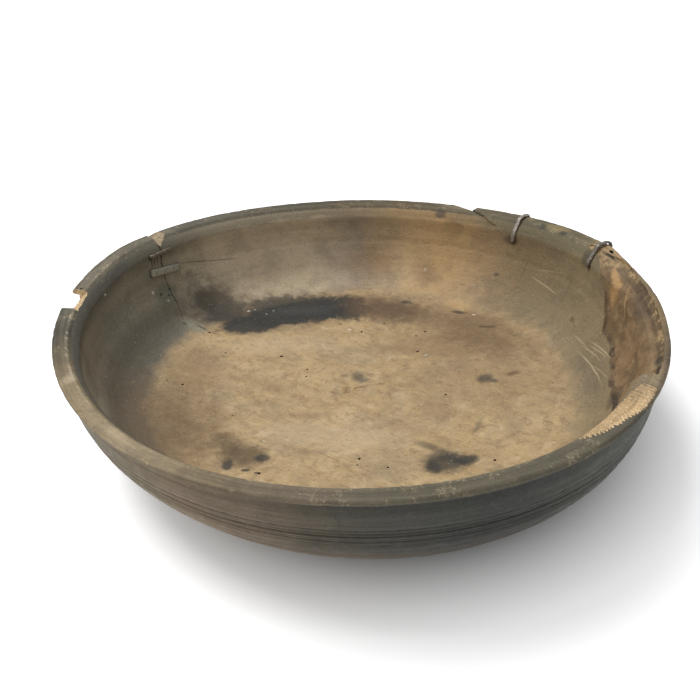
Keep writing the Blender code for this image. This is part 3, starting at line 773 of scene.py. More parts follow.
def burrow_tree():
    """Node tree that puts a tilted round pit on each point."""
    tree, given, result = new_group(
        "worm holes",
        "GeometryNodeTree",
        (
            ("Places", "shape", None),
            ("Hole radius", "value", 0.00075),
            ("Hole depth", "value", 0.0045),
            ("Largest tilt", "value", 0.5),
            ("Seed", "whole", None),
            ("Wood", "material", None),
        ),
        (("Pits", "shape"),),
    )
    pit = add_node(tree, "GeometryNodeMeshCylinder")
    feed(tree, 10, pit.inputs["Vertices"])
    feed(tree, given.outputs["Hole radius"], pit.inputs["Radius"])
    feed(tree, given.outputs["Hole depth"], pit.inputs["Depth"])
    points = add_node(tree, "GeometryNodeMeshToPoints")
    feed(tree, given.outputs["Places"], points.inputs["Mesh"])
    width = add_node(tree, "GeometryNodeInputNamedAttribute", data_type="FLOAT")
    feed(tree, "width", width.inputs["Name"])
    tilt = add_node(tree, "FunctionNodeRandomValue", data_type="FLOAT_VECTOR")
    feed(tree, math_of(tree, "MULTIPLY", given.outputs["Largest tilt"], -1.0), tilt.inputs[0])
    feed(tree, given.outputs["Largest tilt"], tilt.inputs[1])
    feed(tree, given.outputs["Seed"], tilt.inputs["Seed"])
    size = add_node(tree, "ShaderNodeCombineXYZ")
    feed(tree, width.outputs["Attribute"], size.inputs["X"])
    feed(tree, width.outputs["Attribute"], size.inputs["Y"])
    feed(tree, 1.0, size.inputs["Z"])
    copies = add_node(tree, "GeometryNodeInstanceOnPoints")
    feed(tree, points.outputs[0], copies.inputs["Points"])
    feed(tree, pit.outputs["Mesh"], copies.inputs["Instance"])
    feed(tree, tilt.outputs[0], copies.inputs["Rotation"])
    feed(tree, size.outputs[0], copies.inputs["Scale"])
    hand_out(tree, copies.outputs[0], given, result)
    return tree


def worm_holes():
    """The worm holes in the floor, and one in the rim beside the notch."""
    places = bpy.data.meshes.new("worm hole places")
    points = []
    for x, y, width in FLOOR_BURROWS:
        radius = math.hypot(x, y) / 1000.0
        points.append((x / 1000.0, y / 1000.0, HEIGHT - floor_drop(radius)))
    points.append(tuple(at(0.1643, math.radians(163.0), 0.0)))
    widths = [width for x, y, width in FLOOR_BURROWS] + [0.9]
    places.from_pydata(points, [], [])
    mark = places.attributes.new("width", "FLOAT", "POINT")
    mark.data.foreach_set("value", widths)
    holder = add_object("worm hole places", places)
    sizes = {"hole_radius": BURROW_RADIUS, "hole_depth": BURROW_DEPTH, "largest_tilt": BURROW_TILT}
    run_tree(holder, burrow_tree(), **sizes, seed=7, wood=aged_wood)
    mesh = made_plain(holder, "worm holes")
    bpy.data.objects.remove(holder)
    mark_faces(mesh, burrow=1.0)
    if "width" in mesh.attributes:
        mesh.attributes.remove(mesh.attributes["width"])
    breaks.objects.link(bpy.data.objects.new("worm holes", mesh))


long_crack()
crack_corner()
lost_lip()
back_split()
lost_splinter()
torn_layer()
gnawed_bevel()
knot_hole()
worm_holes()


# How the staples meet the wood: each leg sits in a slot of the wall with a little room round it. The
# staples' own lines are laid out here, because their slots are cut with the breaks.
CLEARANCE = 0.0003
CROWN_STAND = 0.0005
STAPLE_LEG = 0.0040
RIM_STAPLE_LEG = 0.8 * STAPLE_LEG
CRACK_ANGLE = math.radians(139.0)
UPPER_STAPLE = {
    "length": 0.0180,
    "width": 0.0028,
    "thickness": 0.0016,
    "drop": 0.0092,
    "turn": math.radians(2.0),
}
LOWER_STAPLE = {
    "length": 0.0225,
    "width": 0.0048,
    "thickness": 0.0014,
    "drop": 0.0215,
    "turn": math.radians(-8.0),
}
BACK_STAPLE = {"angle": math.radians(38.2), "drop": 0.0135, "width": 0.0028, "turn": math.radians(4.0)}
SIDE_STAPLE = {"angle": math.radians(12.8), "drop": 0.0100, "width": 0.0026, "turn": math.radians(14.0)}
RIM_STAPLE_THICKNESS = 0.0012


def wall_frame(angle, drop, turn):
    """X along the wall, Y out of the inside face of the wall, Z across; the origin is on that face."""
    step = 0.002
    slope = (inner_radius(drop - step) - inner_radius(drop + step)) / (2.0 * step)
    radial = Vector((math.cos(angle), math.sin(angle), 0.0))
    up_wall = (Vector((0.0, 0.0, 1.0)) + radial * slope).normalized()
    tangent = Vector((math.sin(angle), -math.cos(angle), 0.0))
    along = (tangent * math.cos(turn) + up_wall * math.sin(turn)).normalized()
    out = up_wall.cross(tangent).normalized()
    if out.dot(radial) > 0.0:
        out = -out
    across = along.cross(out)
    matrix = Matrix((along, out, across)).transposed().to_4x4()
    matrix.translation = at(inner_radius(drop), angle, drop)
    return matrix


def rim_frame(angle, turn):
    """X outward over the rim, Y up, Z across; the origin is below the rim's edge at the foot's height."""
    way = Vector((math.cos(angle + turn), math.sin(angle + turn), 0.0))
    up = Vector((0.0, 0.0, 1.0))
    matrix = Matrix((way, up, way.cross(up))).transposed().to_4x4()
    matrix.translation = Vector((RIM_RADIUS * math.cos(angle), RIM_RADIUS * math.sin(angle), 0.0))
    return matrix


def crown_height(length):
    """How far the middle of a straight crown stands off the curved wall, and the wall's sag there."""
    around = inner_radius(LOWER_STAPLE["drop"])
    sag = around - math.sqrt(around**2 - (0.5 * length) ** 2)
    return sag + CROWN_STAND, sag


def section_along(angle, turn, radius):
    """How far along a strap that crosses the rim at a turn a radius lies, from the rim's edge."""
    start = Vector((RIM_RADIUS * math.cos(angle), RIM_RADIUS * math.sin(angle)))
    way = Vector((math.cos(angle + turn), math.sin(angle + turn)))
    half = start.dot(way)
    return -half + math.sqrt(half**2 - RIM_RADIUS**2 + radius**2)


def rim_staple_path(staple):
    """The way over the rim, from the slot in the inside of the wall to the slot under the lip."""
    under = LIP_DEPTH + 0.0042
    throat = min(THROAT_DEPTH, 0.9 * staple["drop"])
    points = [
        (inner_radius(staple["drop"]), staple["drop"]),
        (inner_radius(throat), throat),
        (inner_radius(0.0025), 0.0025),
        (RIM_RADIUS - RIM_WIDTH - 0.0002, 0.0),
        (RIM_RADIUS - LIP_ROUND, -0.0001),
        (RIM_RADIUS - 0.25 * LIP_ROUND, 0.25 * LIP_ROUND),
        (RIM_RADIUS + 0.0001, LIP_ROUND),
        (RIM_RADIUS - 0.0006, LIP_DEPTH - 0.0008),
        (WALL_RADIUS + 0.0010, LIP_DEPTH + 0.0012),
        (outer_radius(under), under),
    ]
    along = [(section_along(staple["angle"], staple["turn"], radius), drop) for radius, drop in points]
    return [Vector((x, HEIGHT - drop)) for x, drop in along]


def slot(name, corners, width, frame_of_staple):
    """A square hole for a staple's leg: an outline in the staple's frame, as wide as the staple."""
    loops = []
    for side in (-0.5, 0.5):
        loops.append([frame_of_staple @ Vector((x, y, side * width)) for x, y in corners])
    break_body(name, loops, torn=0.5)


for number, staple in enumerate((UPPER_STAPLE, LOWER_STAPLE), 1):
    half = 0.5 * staple["length"]
    crown, sag = crown_height(staple["length"])
    foot = crown - STAPLE_LEG - sag - CLEARANCE
    near = half - staple["thickness"] - CLEARANCE
    far = half + CLEARANCE
    place = wall_frame(CRACK_ANGLE, staple["drop"], staple["turn"])
    top = crown + CLEARANCE
    for side in (-1.0, 1.0):
        corners = [(side * near, foot), (side * far, foot), (side * far, top), (side * near, top)]
        slot(f"crack staple {number} slot {side:+.0f}", corners, staple["width"] + 2.0 * CLEARANCE, place)
for number, staple in enumerate((BACK_STAPLE, SIDE_STAPLE), 1):
    path = rim_staple_path(staple)
    place = rim_frame(staple["angle"], staple["turn"])
    for end, way in ((path[0], 1.0), (path[-1], -1.0)):
        near, far = end.x - way * 0.002, end.x + way * (RIM_STAPLE_LEG + CLEARANCE)
        top, low = end.y + 2.0 * CLEARANCE, end.y - RIM_STAPLE_THICKNESS - 2.0 * CLEARANCE
        corners = [(near, low), (far, low), (far, top), (near, top)]
        slot(f"rim staple {number} slot {way:+.0f}", corners, staple["width"] + 2.0 * CLEARANCE, place)


# The bowl itself: the turned form less the breaks, dried to its oval and warped shape, with the dents
# and the worn edges of long use. It stands for the plain solid of the frame.
OVAL_SHARE = 0.063
EGG_SHARE = 0.0139
EGG_ANGLE = math.radians(40.0)
SADDLE_LIFT = 0.0027
SADDLE_ANGLE = math.radians(-50.3)
WAVE_LIFT = 0.0028
WAVE_ANGLE = math.radians(29.5)
RISES = (
    (math.radians(-10.0), math.radians(8.0), 0.0018),
    (math.radians(11.5), math.radians(4.5), 0.0020),
    (math.radians(14.0), math.radians(22.0), 0.0034),
    (math.radians(82.0), math.radians(23.0), 0.0019),
    (math.radians(147.0), math.radians(9.0), 0.0014),
)
HOLLOW_SHIFT = Vector((-0.004, 0.0015, 0.0))


def inward_share(radius, drop):
    """0 on the outside of the wall, 1 on the inside."""
    outer, inner = outer_radius(drop), inner_radius(drop)
    return min(max((outer - radius) / max(outer - inner, LIP_ROUND), 0.0), 1.0)


def rim_lift(angle):
    """How high the warped rim stands in a direction, above where it was turned."""
    lift = SADDLE_LIFT * math.cos(2.0 * (angle - SADDLE_ANGLE))
    lift += WAVE_LIFT * math.cos(3.0 * (angle - WAVE_ANGLE))
    for middle, width, height in RISES:
        lift += height * math.exp(-(((angle - middle) / width) ** 2))
    return lift


def dried(point):
    """Where a point of the round bowl lies after the wood dried oval and its rim warped."""
    angle = math.atan2(point.y, point.x)
    drop = HEIGHT - point.z
    inward = inward_share(math.hypot(point.x, point.y), drop)
    deep = min(max(drop / FLOOR_DEPTH, 0.0), 1.0) * min(max(point.z / (HEIGHT - FLOOR_DEPTH), 0.0), 1.0)
    stretch = 1.0 + OVAL_SHARE * math.cos(2.0 * (angle - GRAIN_ANGLE))
    stretch += EGG_SHARE * math.cos(3.0 * (angle - EGG_ANGLE))
    height = point.z + rim_lift(angle) * point.z / HEIGHT
    return Vector((point.x * stretch, point.y * stretch, height)) + HOLLOW_SHIFT * inward * deep


# Wear and dents, in metres: over all of it, at the top of the rim, and in nicks along the rim's two edges.
SOFT_WEAR = 0.00022
DENT_WEAR = 0.00040
RIM_WEAR = 0.00012
OUTER_NICK = 0.0011
INNER_NICK = 0.0008
OUTER_NICK_REACH = 0.0018
INNER_NICK_REACH = 0.0014
RIM_WEAR_REACH = 0.004


def wear_depth(point):
    """How far wear and small dents have taken the turned surface in at a point."""
    radius = math.hypot(point.x, point.y)
    drop = HEIGHT - point.z
    if point.z < 0.0006:
        return 0.0
    soft = 0.5 + 0.5 * rough(point, 0.016, 1.6)
    small = max(rough(point + Vector((0.3, 0.1, 0.2)), 0.0036, 1.8) - 0.15, 0.0)
    depth = SOFT_WEAR * soft + DENT_WEAR * small
    at_rim = max(1.0 - max(drop, 0.0) / RIM_WEAR_REACH, 0.0) * (1.0 if radius > THROAT_RADIUS else 0.0)
    edge_out = math.exp(-(((radius - RIM_RADIUS) / OUTER_NICK_REACH) ** 2))
    edge_in = math.exp(-(((radius - (RIM_RADIUS - RIM_WIDTH)) / INNER_NICK_REACH) ** 2))
    nick = max(rough(point + Vector((0.7, 0.2, 0.4)), 0.0052) - 0.18, 0.0) + 0.35 * max(
        rough(point, 0.0017) - 0.1, 0.0
    )
    depth += at_rim * (RIM_WEAR + (edge_out * OUTER_NICK + edge_in * INNER_NICK) * nick)
    return depth


cut = bowl_blank.modifiers.new("breaks", "BOOLEAN")
cut.operation = "DIFFERENCE"
cut.solver = "MANIFOLD"
cut.operand_type = "COLLECTION"
cut.collection = breaks
bowl_mesh = made_plain(bowl_blank, "bowl_wood")
bpy.data.objects.remove(bowl_blank)
for body in list(breaks.objects):
    bpy.data.objects.remove(body)
bpy.data.collections.remove(breaks)

bm = bmesh.new()
bm.from_mesh(bowl_mesh)
bmesh.ops.remove_doubles(bm, verts=bm.verts[:], dist=0.00002)
bmesh.ops.dissolve_degenerate(bm, dist=0.00001, edges=bm.edges[:])
bmesh.ops.triangulate(bm, faces=bm.faces[:])
bm.normal_update()
for vert in bm.verts:
    vert.co = vert.co - vert.normal * wear_depth(vert.co)
bm.to_mesh(bowl_mesh)
bm.free()

# Marks that the wood's look reads: the place before drying, how far inside and how far on the rim a point
# lies, and the painted shadow line along the torn layer's lower edge.
RIM_ZONE_FROM = 0.0012
RIM_ZONE_FADE = 0.0030
TEAR_LINE_FROM = -34.5
TEAR_LINE_TO = 6.5
TEAR_LINE_WIDTH = 0.0013
round_places, zones, edge_marks = [], [], []
for vertex in bowl_mesh.vertices:
    place = vertex.co
    radius, drop = math.hypot(place.x, place.y), HEIGHT - place.z
    inward = inward_share(radius, drop)
    rim = min(max(1.0 - (drop - RIM_ZONE_FROM) / RIM_ZONE_FADE, 0.0), 1.0)
    degrees = math.degrees(math.atan2(place.y, place.x))
    near_tear = 0.0
    if TEAR_LINE_FROM < degrees < TEAR_LINE_TO and inward > 0.5:
        away = abs(drop - torn_drop(degrees)[0])
        near_tear = max(1.0 - away / TEAR_LINE_WIDTH, 0.0)
    round_places += list(place)
    zones += [inward, rim, 0.0]
    edge_marks.append(near_tear)
for name, kind, field, values in (
    ("round_place", "FLOAT_VECTOR", "vector", round_places),
    ("zones", "FLOAT_VECTOR", "vector", zones),
    ("torn_edge", "FLOAT", "value", edge_marks),
):
    mark = bowl_mesh.attributes.new(name, kind, "POINT")
    mark.data.foreach_set(field, values)
for vertex in bowl_mesh.vertices:
    vertex.co = dried(vertex.co)
bowl_mesh.shade_smooth()
bowl_mesh.set_sharp_from_angle(angle=math.radians(42.0))
bowl = add_object("bowl_wood", bowl_mesh)


# The wood's look: tan floor and golden back wall, dark grey grime on the left wall and the outside, grey
# worn rim, pale fresh breaks, blue-black stains, fine fibres along the grain and turned lines round it.
def vector_of(tree, operation, first, second=None):
    """The result of a vector math node: a number where the operation gives one."""
    node = add_node(tree, "ShaderNodeVectorMath", operation=operation)
    feed(tree, first, node.inputs[0])
    if second is not None:
        feed(tree, second, node.inputs[3] if operation == "SCALE" else node.inputs[1])
    return node.outputs["Value"] if operation in ("LENGTH", "DOT_PRODUCT", "DISTANCE") else node.outputs[
        "Vector"
    ]


def between(tree, value, low, high, to_low=0.0, to_high=1.0):
    """A value mapped smoothly from one range to another."""
    node = add_node(tree, "ShaderNodeMapRange", interpolation_type="SMOOTHSTEP")
    for source, label in (
        (value, "Value"), (low, "From Min"), (high, "From Max"), (to_low, "To Min"), (to_high, "To Max")
    ):
        feed(tree, source, node.inputs[label])
    return node.outputs[0]


def mixed(tree, share, first, second, blend="MIX"):
    """Two colours mixed by a share."""
    node = add_node(tree, "ShaderNodeMix", data_type="RGBA", blend_type=blend)
    feed(tree, share, node.inputs[0])
    feed(tree, first, node.inputs[6])
    feed(tree, second, node.inputs[7])
    return node.outputs[2]


def noise_of(tree, place, scale, detail=3.0, roughness=0.55, distortion=0.0):
    """Noise from 0 to 1 read at a place."""
    node = add_node(tree, "ShaderNodeTexNoise")
    feed(tree, place, node.inputs["Vector"])
    node.inputs["Scale"].default_value = scale
    node.inputs["Detail"].default_value = detail
    node.inputs["Roughness"].default_value = roughness
    node.inputs["Distortion"].default_value = distortion
    return node.outputs["Fac"]


def stain_group():
    """A soft, ragged spot: 1 in its middle, 0 outside."""
    group, given, result = new_group(
        "stain spot",
        "ShaderNodeTree",
        (
            ("Place", "vector", (0.0, 0.0, 0.0)),
            ("Raggedness", "value", 0.0),
            ("Middle", "vector", (0.0, 0.0, 0.0)),
            ("Half size", "vector", (0.01, 0.01, 0.01)),
            ("Turn", "value", 0.0),
            ("Softness", "value", 0.3),
        ),
        (("Mask", "value"),),
    )
    away = vector_of(group, "SUBTRACT", given.outputs["Place"], given.outputs["Middle"])
    turned = add_node(group, "ShaderNodeVectorRotate", rotation_type="Z_AXIS")
    feed(group, away, turned.inputs["Vector"])
    feed(group, given.outputs["Turn"], turned.inputs["Angle"])
    shares = vector_of(group, "DIVIDE", turned.outputs[0], given.outputs["Half size"])
    far = math_of(group, "ADD", vector_of(group, "LENGTH", shares), given.outputs["Raggedness"])
    outer = math_of(group, "ADD", 1.0, given.outputs["Softness"])
    inner = math_of(group, "SUBTRACT", 1.0, given.outputs["Softness"])
    feed(group, between(group, far, outer, inner), result.inputs["Mask"])
    return group


def grain_group():
    """Wood grain along one direction: soft bands, fine fibres and short dark pores."""
    group, given, result = new_group(
        "wood grain",
        "ShaderNodeTree",
        (
            ("Place", "vector", (0.0, 0.0, 0.0)),
            ("Turn", "value", 0.0),
            ("Band width", "value", 0.004),
            ("Fibre width", "value", 0.0006),
        ),
        (("Bands", "value"), ("Fibres", "value"), ("Pores", "value")),
    )
    turned = add_node(group, "ShaderNodeVectorRotate", rotation_type="Z_AXIS")
    feed(group, given.outputs["Place"], turned.inputs["Vector"])
    feed(group, given.outputs["Turn"], turned.inputs["Angle"])
    band_place = vector_of(group, "MULTIPLY", turned.outputs[0], (0.09, 1.0, 1.0))
    band_scale = math_of(group, "DIVIDE", 1.0, given.outputs["Band width"])
    bands = noise_of(group, vector_of(group, "SCALE", band_place, band_scale), 1.0, 4.0, 0.6, 0.4)
    fibre_place = vector_of(group, "MULTIPLY", turned.outputs[0], (0.06, 1.0, 1.0))
    fibre_scale = math_of(group, "DIVIDE", 1.0, given.outputs["Fibre width"])
    fibres = noise_of(group, vector_of(group, "SCALE", fibre_place, fibre_scale), 1.0, 3.0, 0.65)
    pore_place = vector_of(group, "MULTIPLY", turned.outputs[0], (0.17, 1.0, 1.0))
    pores = noise_of(group, vector_of(group, "SCALE", pore_place, fibre_scale), 0.55, 1.0, 0.5)
    feed(group, bands, result.inputs["Bands"])
    feed(group, fibres, result.inputs["Fibres"])
    feed(group, between(group, pores, 0.66, 0.74), result.inputs["Pores"])
    return group


STAIN_SPOT = stain_group()
WOOD_GRAIN = grain_group()

aged_wood.use_nodes = True
wood = aged_wood.node_tree
wood_shader = wood.nodes["Principled BSDF"]


def attribute_of(tree, name, output):
    """An output of the node that reads one of the mesh's attributes."""
    node = add_node(tree, "ShaderNodeAttribute", attribute_name=name, attribute_type="GEOMETRY")
    return node.outputs[output]


def times(first, second):
    """The product of two values or masks of the wood."""
    return math_of(wood, "MULTIPLY", first, second)


def wandering(value, wander, reach):
    """A value of the wood moved to and fro by a noise, so that an edge read from it is ragged."""
    return math_of(wood, "MULTIPLY_ADD", math_of(wood, "SUBTRACT", wander, 0.5), reach, value)


def turned_colors(tree, value, stops):
    """A colour ramp read by a value from 0 to 1."""
    node = add_node(tree, "ShaderNodeValToRGB")
    feed(tree, value, node.inputs[0])
    ramp_of = node.color_ramp
    while len(ramp_of.elements) < len(stops):
        ramp_of.elements.new(0.5)
    for element, (place, color) in zip(ramp_of.elements, stops):
        element.position = place
        element.color = (*color, 1.0)
    return node.outputs["Color"]


round_place = attribute_of(wood, "round_place", "Vector")
zone_split = add_node(wood, "ShaderNodeSeparateXYZ")
feed(wood, attribute_of(wood, "zones", "Vector"), zone_split.inputs[0])
inside_share, rim_share = zone_split.outputs[0], zone_split.outputs[1]
place_split = add_node(wood, "ShaderNodeSeparateXYZ")
feed(wood, round_place, place_split.inputs[0])
height_here = place_split.outputs["Z"]
flat_place = add_node(wood, "ShaderNodeCombineXYZ")
feed(wood, place_split.outputs["X"], flat_place.inputs["X"])
feed(wood, place_split.outputs["Y"], flat_place.inputs["Y"])
radius_here = vector_of(wood, "LENGTH", flat_place.outputs[0])
angle_here = math_of(wood, "ARCTAN2", place_split.outputs["Y"], place_split.outputs["X"])
# The grain's widths in metres, and the noises' scales, in spots to the metre.
BAND_WIDTH = 0.0075
FIBRE_WIDTH = 0.00055
BLOTCH_SCALE = 34.0
MOTTLE_SCALE = 150.0
SPECKLE_SCALE = 900.0
RING_SCALE = 900.0
WIDE_RING_SCALE = 260.0
PATCH_SCALE = 62.0
DAB_SCALE = 90.0
RAGGED_SCALE = 130.0
grain = add_node(wood, "ShaderNodeGroup", node_tree=WOOD_GRAIN)
feed(wood, round_place, grain.inputs["Place"])
grain.inputs["Turn"].default_value = -GRAIN_ANGLE
grain.inputs["Band width"].default_value = BAND_WIDTH
grain.inputs["Fibre width"].default_value = FIBRE_WIDTH
bands, fibres, pores = grain.outputs["Bands"], grain.outputs["Fibres"], grain.outputs["Pores"]

blotches = noise_of(wood, round_place, BLOTCH_SCALE, 4.0, 0.6)
mottle = noise_of(wood, round_place, MOTTLE_SCALE, 4.0, 0.65)
speckle = noise_of(wood, round_place, SPECKLE_SCALE, 2.0, 0.6)

# Lines that run round the bowl: the tool's fine marks, read from the height on the walls and from the
# radius on the floor.
ring_place = add_node(wood, "ShaderNodeCombineXYZ")
feed(wood, times(angle_here, 0.0035), ring_place.inputs["X"])
feed(wood, radius_here, ring_place.inputs["Y"])
feed(wood, height_here, ring_place.inputs["Z"])
rings = noise_of(wood, ring_place.outputs[0], RING_SCALE, 3.0, 0.65)
wide_rings = noise_of(wood, ring_place.outputs[0], WIDE_RING_SCALE, 2.0, 0.5)

around = math_of(wood, "ADD", math_of(wood, "DIVIDE", angle_here, math.tau), 0.5)
around_soft = wandering(around, blotches, 0.06)


def degrees_place(degrees):
    """Where an angle lies on a ramp that runs from -180 to 180 degrees."""
    return degrees / 360.0 + 0.5


def round_tones(rows):
    """Ramp stops from rows of (degrees, colour), closed at -180 and 180 degrees."""
    stops = [(degrees_place(degrees), color) for degrees, color in rows]
    return [(0.0, rows[-1][1])] + stops


INSIDE_WALL_TONES = round_tones(
    (
        (-172.0, (0.330, 0.300, 0.225)),
        (-158.0, (0.300, 0.265, 0.195)),
        (-130.0, (0.260, 0.205, 0.130)),
        (-40.0, (0.260, 0.195, 0.110)),
        (5.0, (0.250, 0.196, 0.112)),
        (22.0, (0.225, 0.170, 0.098)),
        (33.0, (0.230, 0.168, 0.094)),
        (46.0, (0.330, 0.228, 0.122)),
        (58.0, (0.455, 0.300, 0.143)),
        (70.0, (0.460, 0.325, 0.175)),
        (84.0, (0.275, 0.216, 0.156)),
        (102.0, (0.490, 0.400, 0.275)),
        (120.0, (0.520, 0.430, 0.305)),
        (131.0, (0.440, 0.385, 0.275)),
        (141.0, (0.280, 0.255, 0.192)),
        (160.0, (0.215, 0.202, 0.158)),
        (178.0, (0.250, 0.222, 0.166)),
    )
)
# The rounded inner edge of the rim, down to the throat, where grime has gathered.
ROLL_TONES = round_tones(
    (
        (-150.0, (0.135, 0.120, 0.090)),
        (-100.0, (0.200, 0.165, 0.110)),
        (-30.0, (0.230, 0.170, 0.095)),
        (20.0, (0.165, 0.138, 0.080)),
        (36.0, (0.150, 0.125, 0.072)),
        (50.0, (0.190, 0.145, 0.080)),
        (60.0, (0.340, 0.225, 0.110)),
        (74.0, (0.330, 0.225, 0.115)),
        (86.0, (0.250, 0.195, 0.125)),
        (120.0, (0.280, 0.240, 0.170)),
        (150.0, (0.120, 0.118, 0.095)),
        (180.0, (0.110, 0.108, 0.088)),
    )
)
RIM_TONES = round_tones(
    (
        (-165.0, (0.262, 0.202, 0.116)),
        (-137.0, (0.320, 0.250, 0.155)),
        (-118.0, (0.205, 0.158, 0.094)),
        (-100.0, (0.172, 0.135, 0.094)),
        (-85.0, (0.116, 0.102, 0.068)),
        (-58.0, (0.124, 0.108, 0.074)),
        (-46.0, (0.112, 0.102, 0.074)),
        (-39.0, (0.240, 0.185, 0.115)),
        (-33.0, (0.225, 0.165, 0.100)),
        (-28.0, (0.120, 0.090, 0.055)),
        (-13.0, (0.215, 0.152, 0.080)),
        (8.0, (0.200, 0.155, 0.092)),
        (28.0, (0.118, 0.102, 0.060)),
        (55.0, (0.122, 0.098, 0.058)),
        (74.0, (0.122, 0.090, 0.050)),
        (100.0, (0.112, 0.096, 0.064)),
        (130.0, (0.130, 0.117, 0.088)),
        (155.0, (0.160, 0.140, 0.102)),
        (180.0, (0.076, 0.067, 0.049)),
    )
)
OUTSIDE_TONES = round_tones(
    (
        (-140.0, (0.228, 0.190, 0.122)),
        (-126.0, (0.236, 0.172, 0.108)),
        (-110.0, (0.170, 0.126, 0.084)),
        (-98.0, (0.072, 0.065, 0.046)),
        (-86.0, (0.060, 0.058, 0.048)),
        (-70.0, (0.046, 0.047, 0.042)),
        (-48.0, (0.088, 0.088, 0.074)),
        (0.0, (0.120, 0.110, 0.088)),
        (90.0, (0.140, 0.118, 0.086)),
        (180.0, (0.165, 0.145, 0.105)),
    )
)
OUTSIDE_LOW_TONES = round_tones(
    (
        (-130.0, (0.250, 0.185, 0.115)),
        (-98.0, (0.165, 0.123, 0.082)),
        (-80.0, (0.092, 0.074, 0.053)),
        (-50.0, (0.085, 0.080, 0.066)),
        (90.0, (0.150, 0.115, 0.078)),
        (180.0, (0.180, 0.140, 0.095)),
    )
)
FLOOR_TONE = (0.410, 0.285, 0.144)
PALE_TONE = (0.500, 0.366, 0.200)
GREY_TONE = (0.330, 0.250, 0.155)
BROWN_TONE = (0.270, 0.178, 0.098)
DARK_DABS = (0.300, 0.222, 0.128)
PALE_DABS = (0.560, 0.430, 0.262)
# Tones that lie over the wall, the rim and the outside: grime, paler wood worn bare, and a painted
# highlight for the rim's inner edge.
LEFT_GRIME = (0.092, 0.082, 0.062)
WALL_GRIME = (0.09, 0.075, 0.05)
WALL_FLECKS = (0.55, 0.44, 0.30)
RIM_GRIME = (0.055, 0.052, 0.042)
RIM_FLECKS = (0.44, 0.36, 0.24)
RIM_EDGE_HIGHLIGHT = (0.46, 0.40, 0.29)
OUTSIDE_FLECKS = (0.30, 0.27, 0.22)
# Tones of the breaks: pale young wood, the torn layer's browns, the painted shade in the torn layer's
# crease and in the holes, and what lies in lines.
FRESH_FIBRES = (0.42, 0.295, 0.155)
FRESH_WOOD = (0.70, 0.53, 0.32)
BEVEL_END = (0.300, 0.205, 0.112)
TORN_BROWN = (0.160, 0.102, 0.052)
TORN_TAN = (0.262, 0.172, 0.090)
TORN_PALE = (0.270, 0.185, 0.100)
TORN_DARK = (0.090, 0.070, 0.042)
TORN_GOLD = (0.44, 0.31, 0.16)
CREASE_PAINTED_SHADE = (0.062, 0.045, 0.030)
HOLE_PAINTED_SHADE = (0.035, 0.025, 0.018)
LINE_DIRT = (0.030, 0.026, 0.020)
DUST = (0.60, 0.54, 0.42)
SPECKS = (0.060, 0.045, 0.030)
PORE_DARK = (0.10, 0.07, 0.045)

soft_patches = noise_of(wood, round_place, PATCH_SCALE, 5.0, 0.6)
streaks = between(wood, bands, 0.36, 0.68, 0.0, 0.5)
pale_share = math_of(wood, "ADD", streaks, between(wood, soft_patches, 0.36, 0.66, 0.0, 0.5))
floor_color = mixed(wood, pale_share, FLOOR_TONE, PALE_TONE)
floor_color = mixed(wood, between(wood, blotches, 0.47, 0.66, 0.0, 0.62), floor_color, GREY_TONE)
floor_color = mixed(wood, between(wood, mottle, 0.49, 0.68, 0.0, 0.58), floor_color, BROWN_TONE)
floor_dabs = noise_of(wood, round_place, DAB_SCALE, 5.0, 0.68, 0.5)
floor_color = mixed(
    wood, between(wood, floor_dabs, 0.50, 0.64, 0.0, 0.58), floor_color, DARK_DABS
)
floor_color = mixed(
    wood, between(wood, floor_dabs, 0.46, 0.34, 0.0, 0.50), floor_color, PALE_DABS
)
wall_color = turned_colors(wood, around_soft, INSIDE_WALL_TONES)

# The left wall is dark at the top and again where it meets the floor; the rest is even.
left_side = between(wood, place_split.outputs["X"], -0.070, -0.118)
low_wall = between(wood, height_here, 0.050, 0.039, 0.0, 0.95)
high_wall = between(wood, height_here, 0.066, 0.077, 0.0, 0.88)
grime = times(left_side, math_of(wood, "ADD", low_wall, high_wall, clamp=True))
wall_color = mixed(wood, times(grime, 0.76), wall_color, LEFT_GRIME)
grime_patch = between(wood, soft_patches, 0.44, 0.64, 0.0, 0.42)
wall_color = mixed(wood, grime_patch, wall_color, mixed(wood, 0.55, wall_color, WALL_GRIME))
wall_color = mixed(
    wood,
    between(wood, mottle, 0.56, 0.74, 0.0, 0.34),
    wall_color,
    mixed(wood, 0.5, wall_color, WALL_FLECKS),
)
roll_color = turned_colors(wood, around_soft, ROLL_TONES)
roll_edge = wandering(height_here, soft_patches, 0.008)
wall_color = mixed(wood, between(wood, roll_edge, 0.0740, 0.0785), wall_color, roll_color)
rim_color = turned_colors(wood, around_soft, RIM_TONES)
rim_color = mixed(
    wood,
    between(wood, soft_patches, 0.46, 0.64, 0.0, 0.45),
    rim_color,
    mixed(wood, 0.5, rim_color, RIM_GRIME),
)
rim_color = mixed(
    wood,
    between(wood, mottle, 0.54, 0.70, 0.0, 0.42),
    rim_color,
    mixed(wood, 0.4, rim_color, RIM_FLECKS),
)
outside_color = turned_colors(wood, around_soft, OUTSIDE_TONES)
low_outside = turned_colors(wood, around_soft, OUTSIDE_LOW_TONES)
low_edge = wandering(height_here, soft_patches, 0.010)
outside_color = mixed(wood, between(wood, low_edge, 0.052, 0.034, 0.0, 0.85), outside_color, low_outside)
outside_color = mixed(
    wood,
    between(wood, mottle, 0.52, 0.72, 0.0, 0.4),
    outside_color,
    mixed(wood, 0.35, outside_color, OUTSIDE_FLECKS),
)

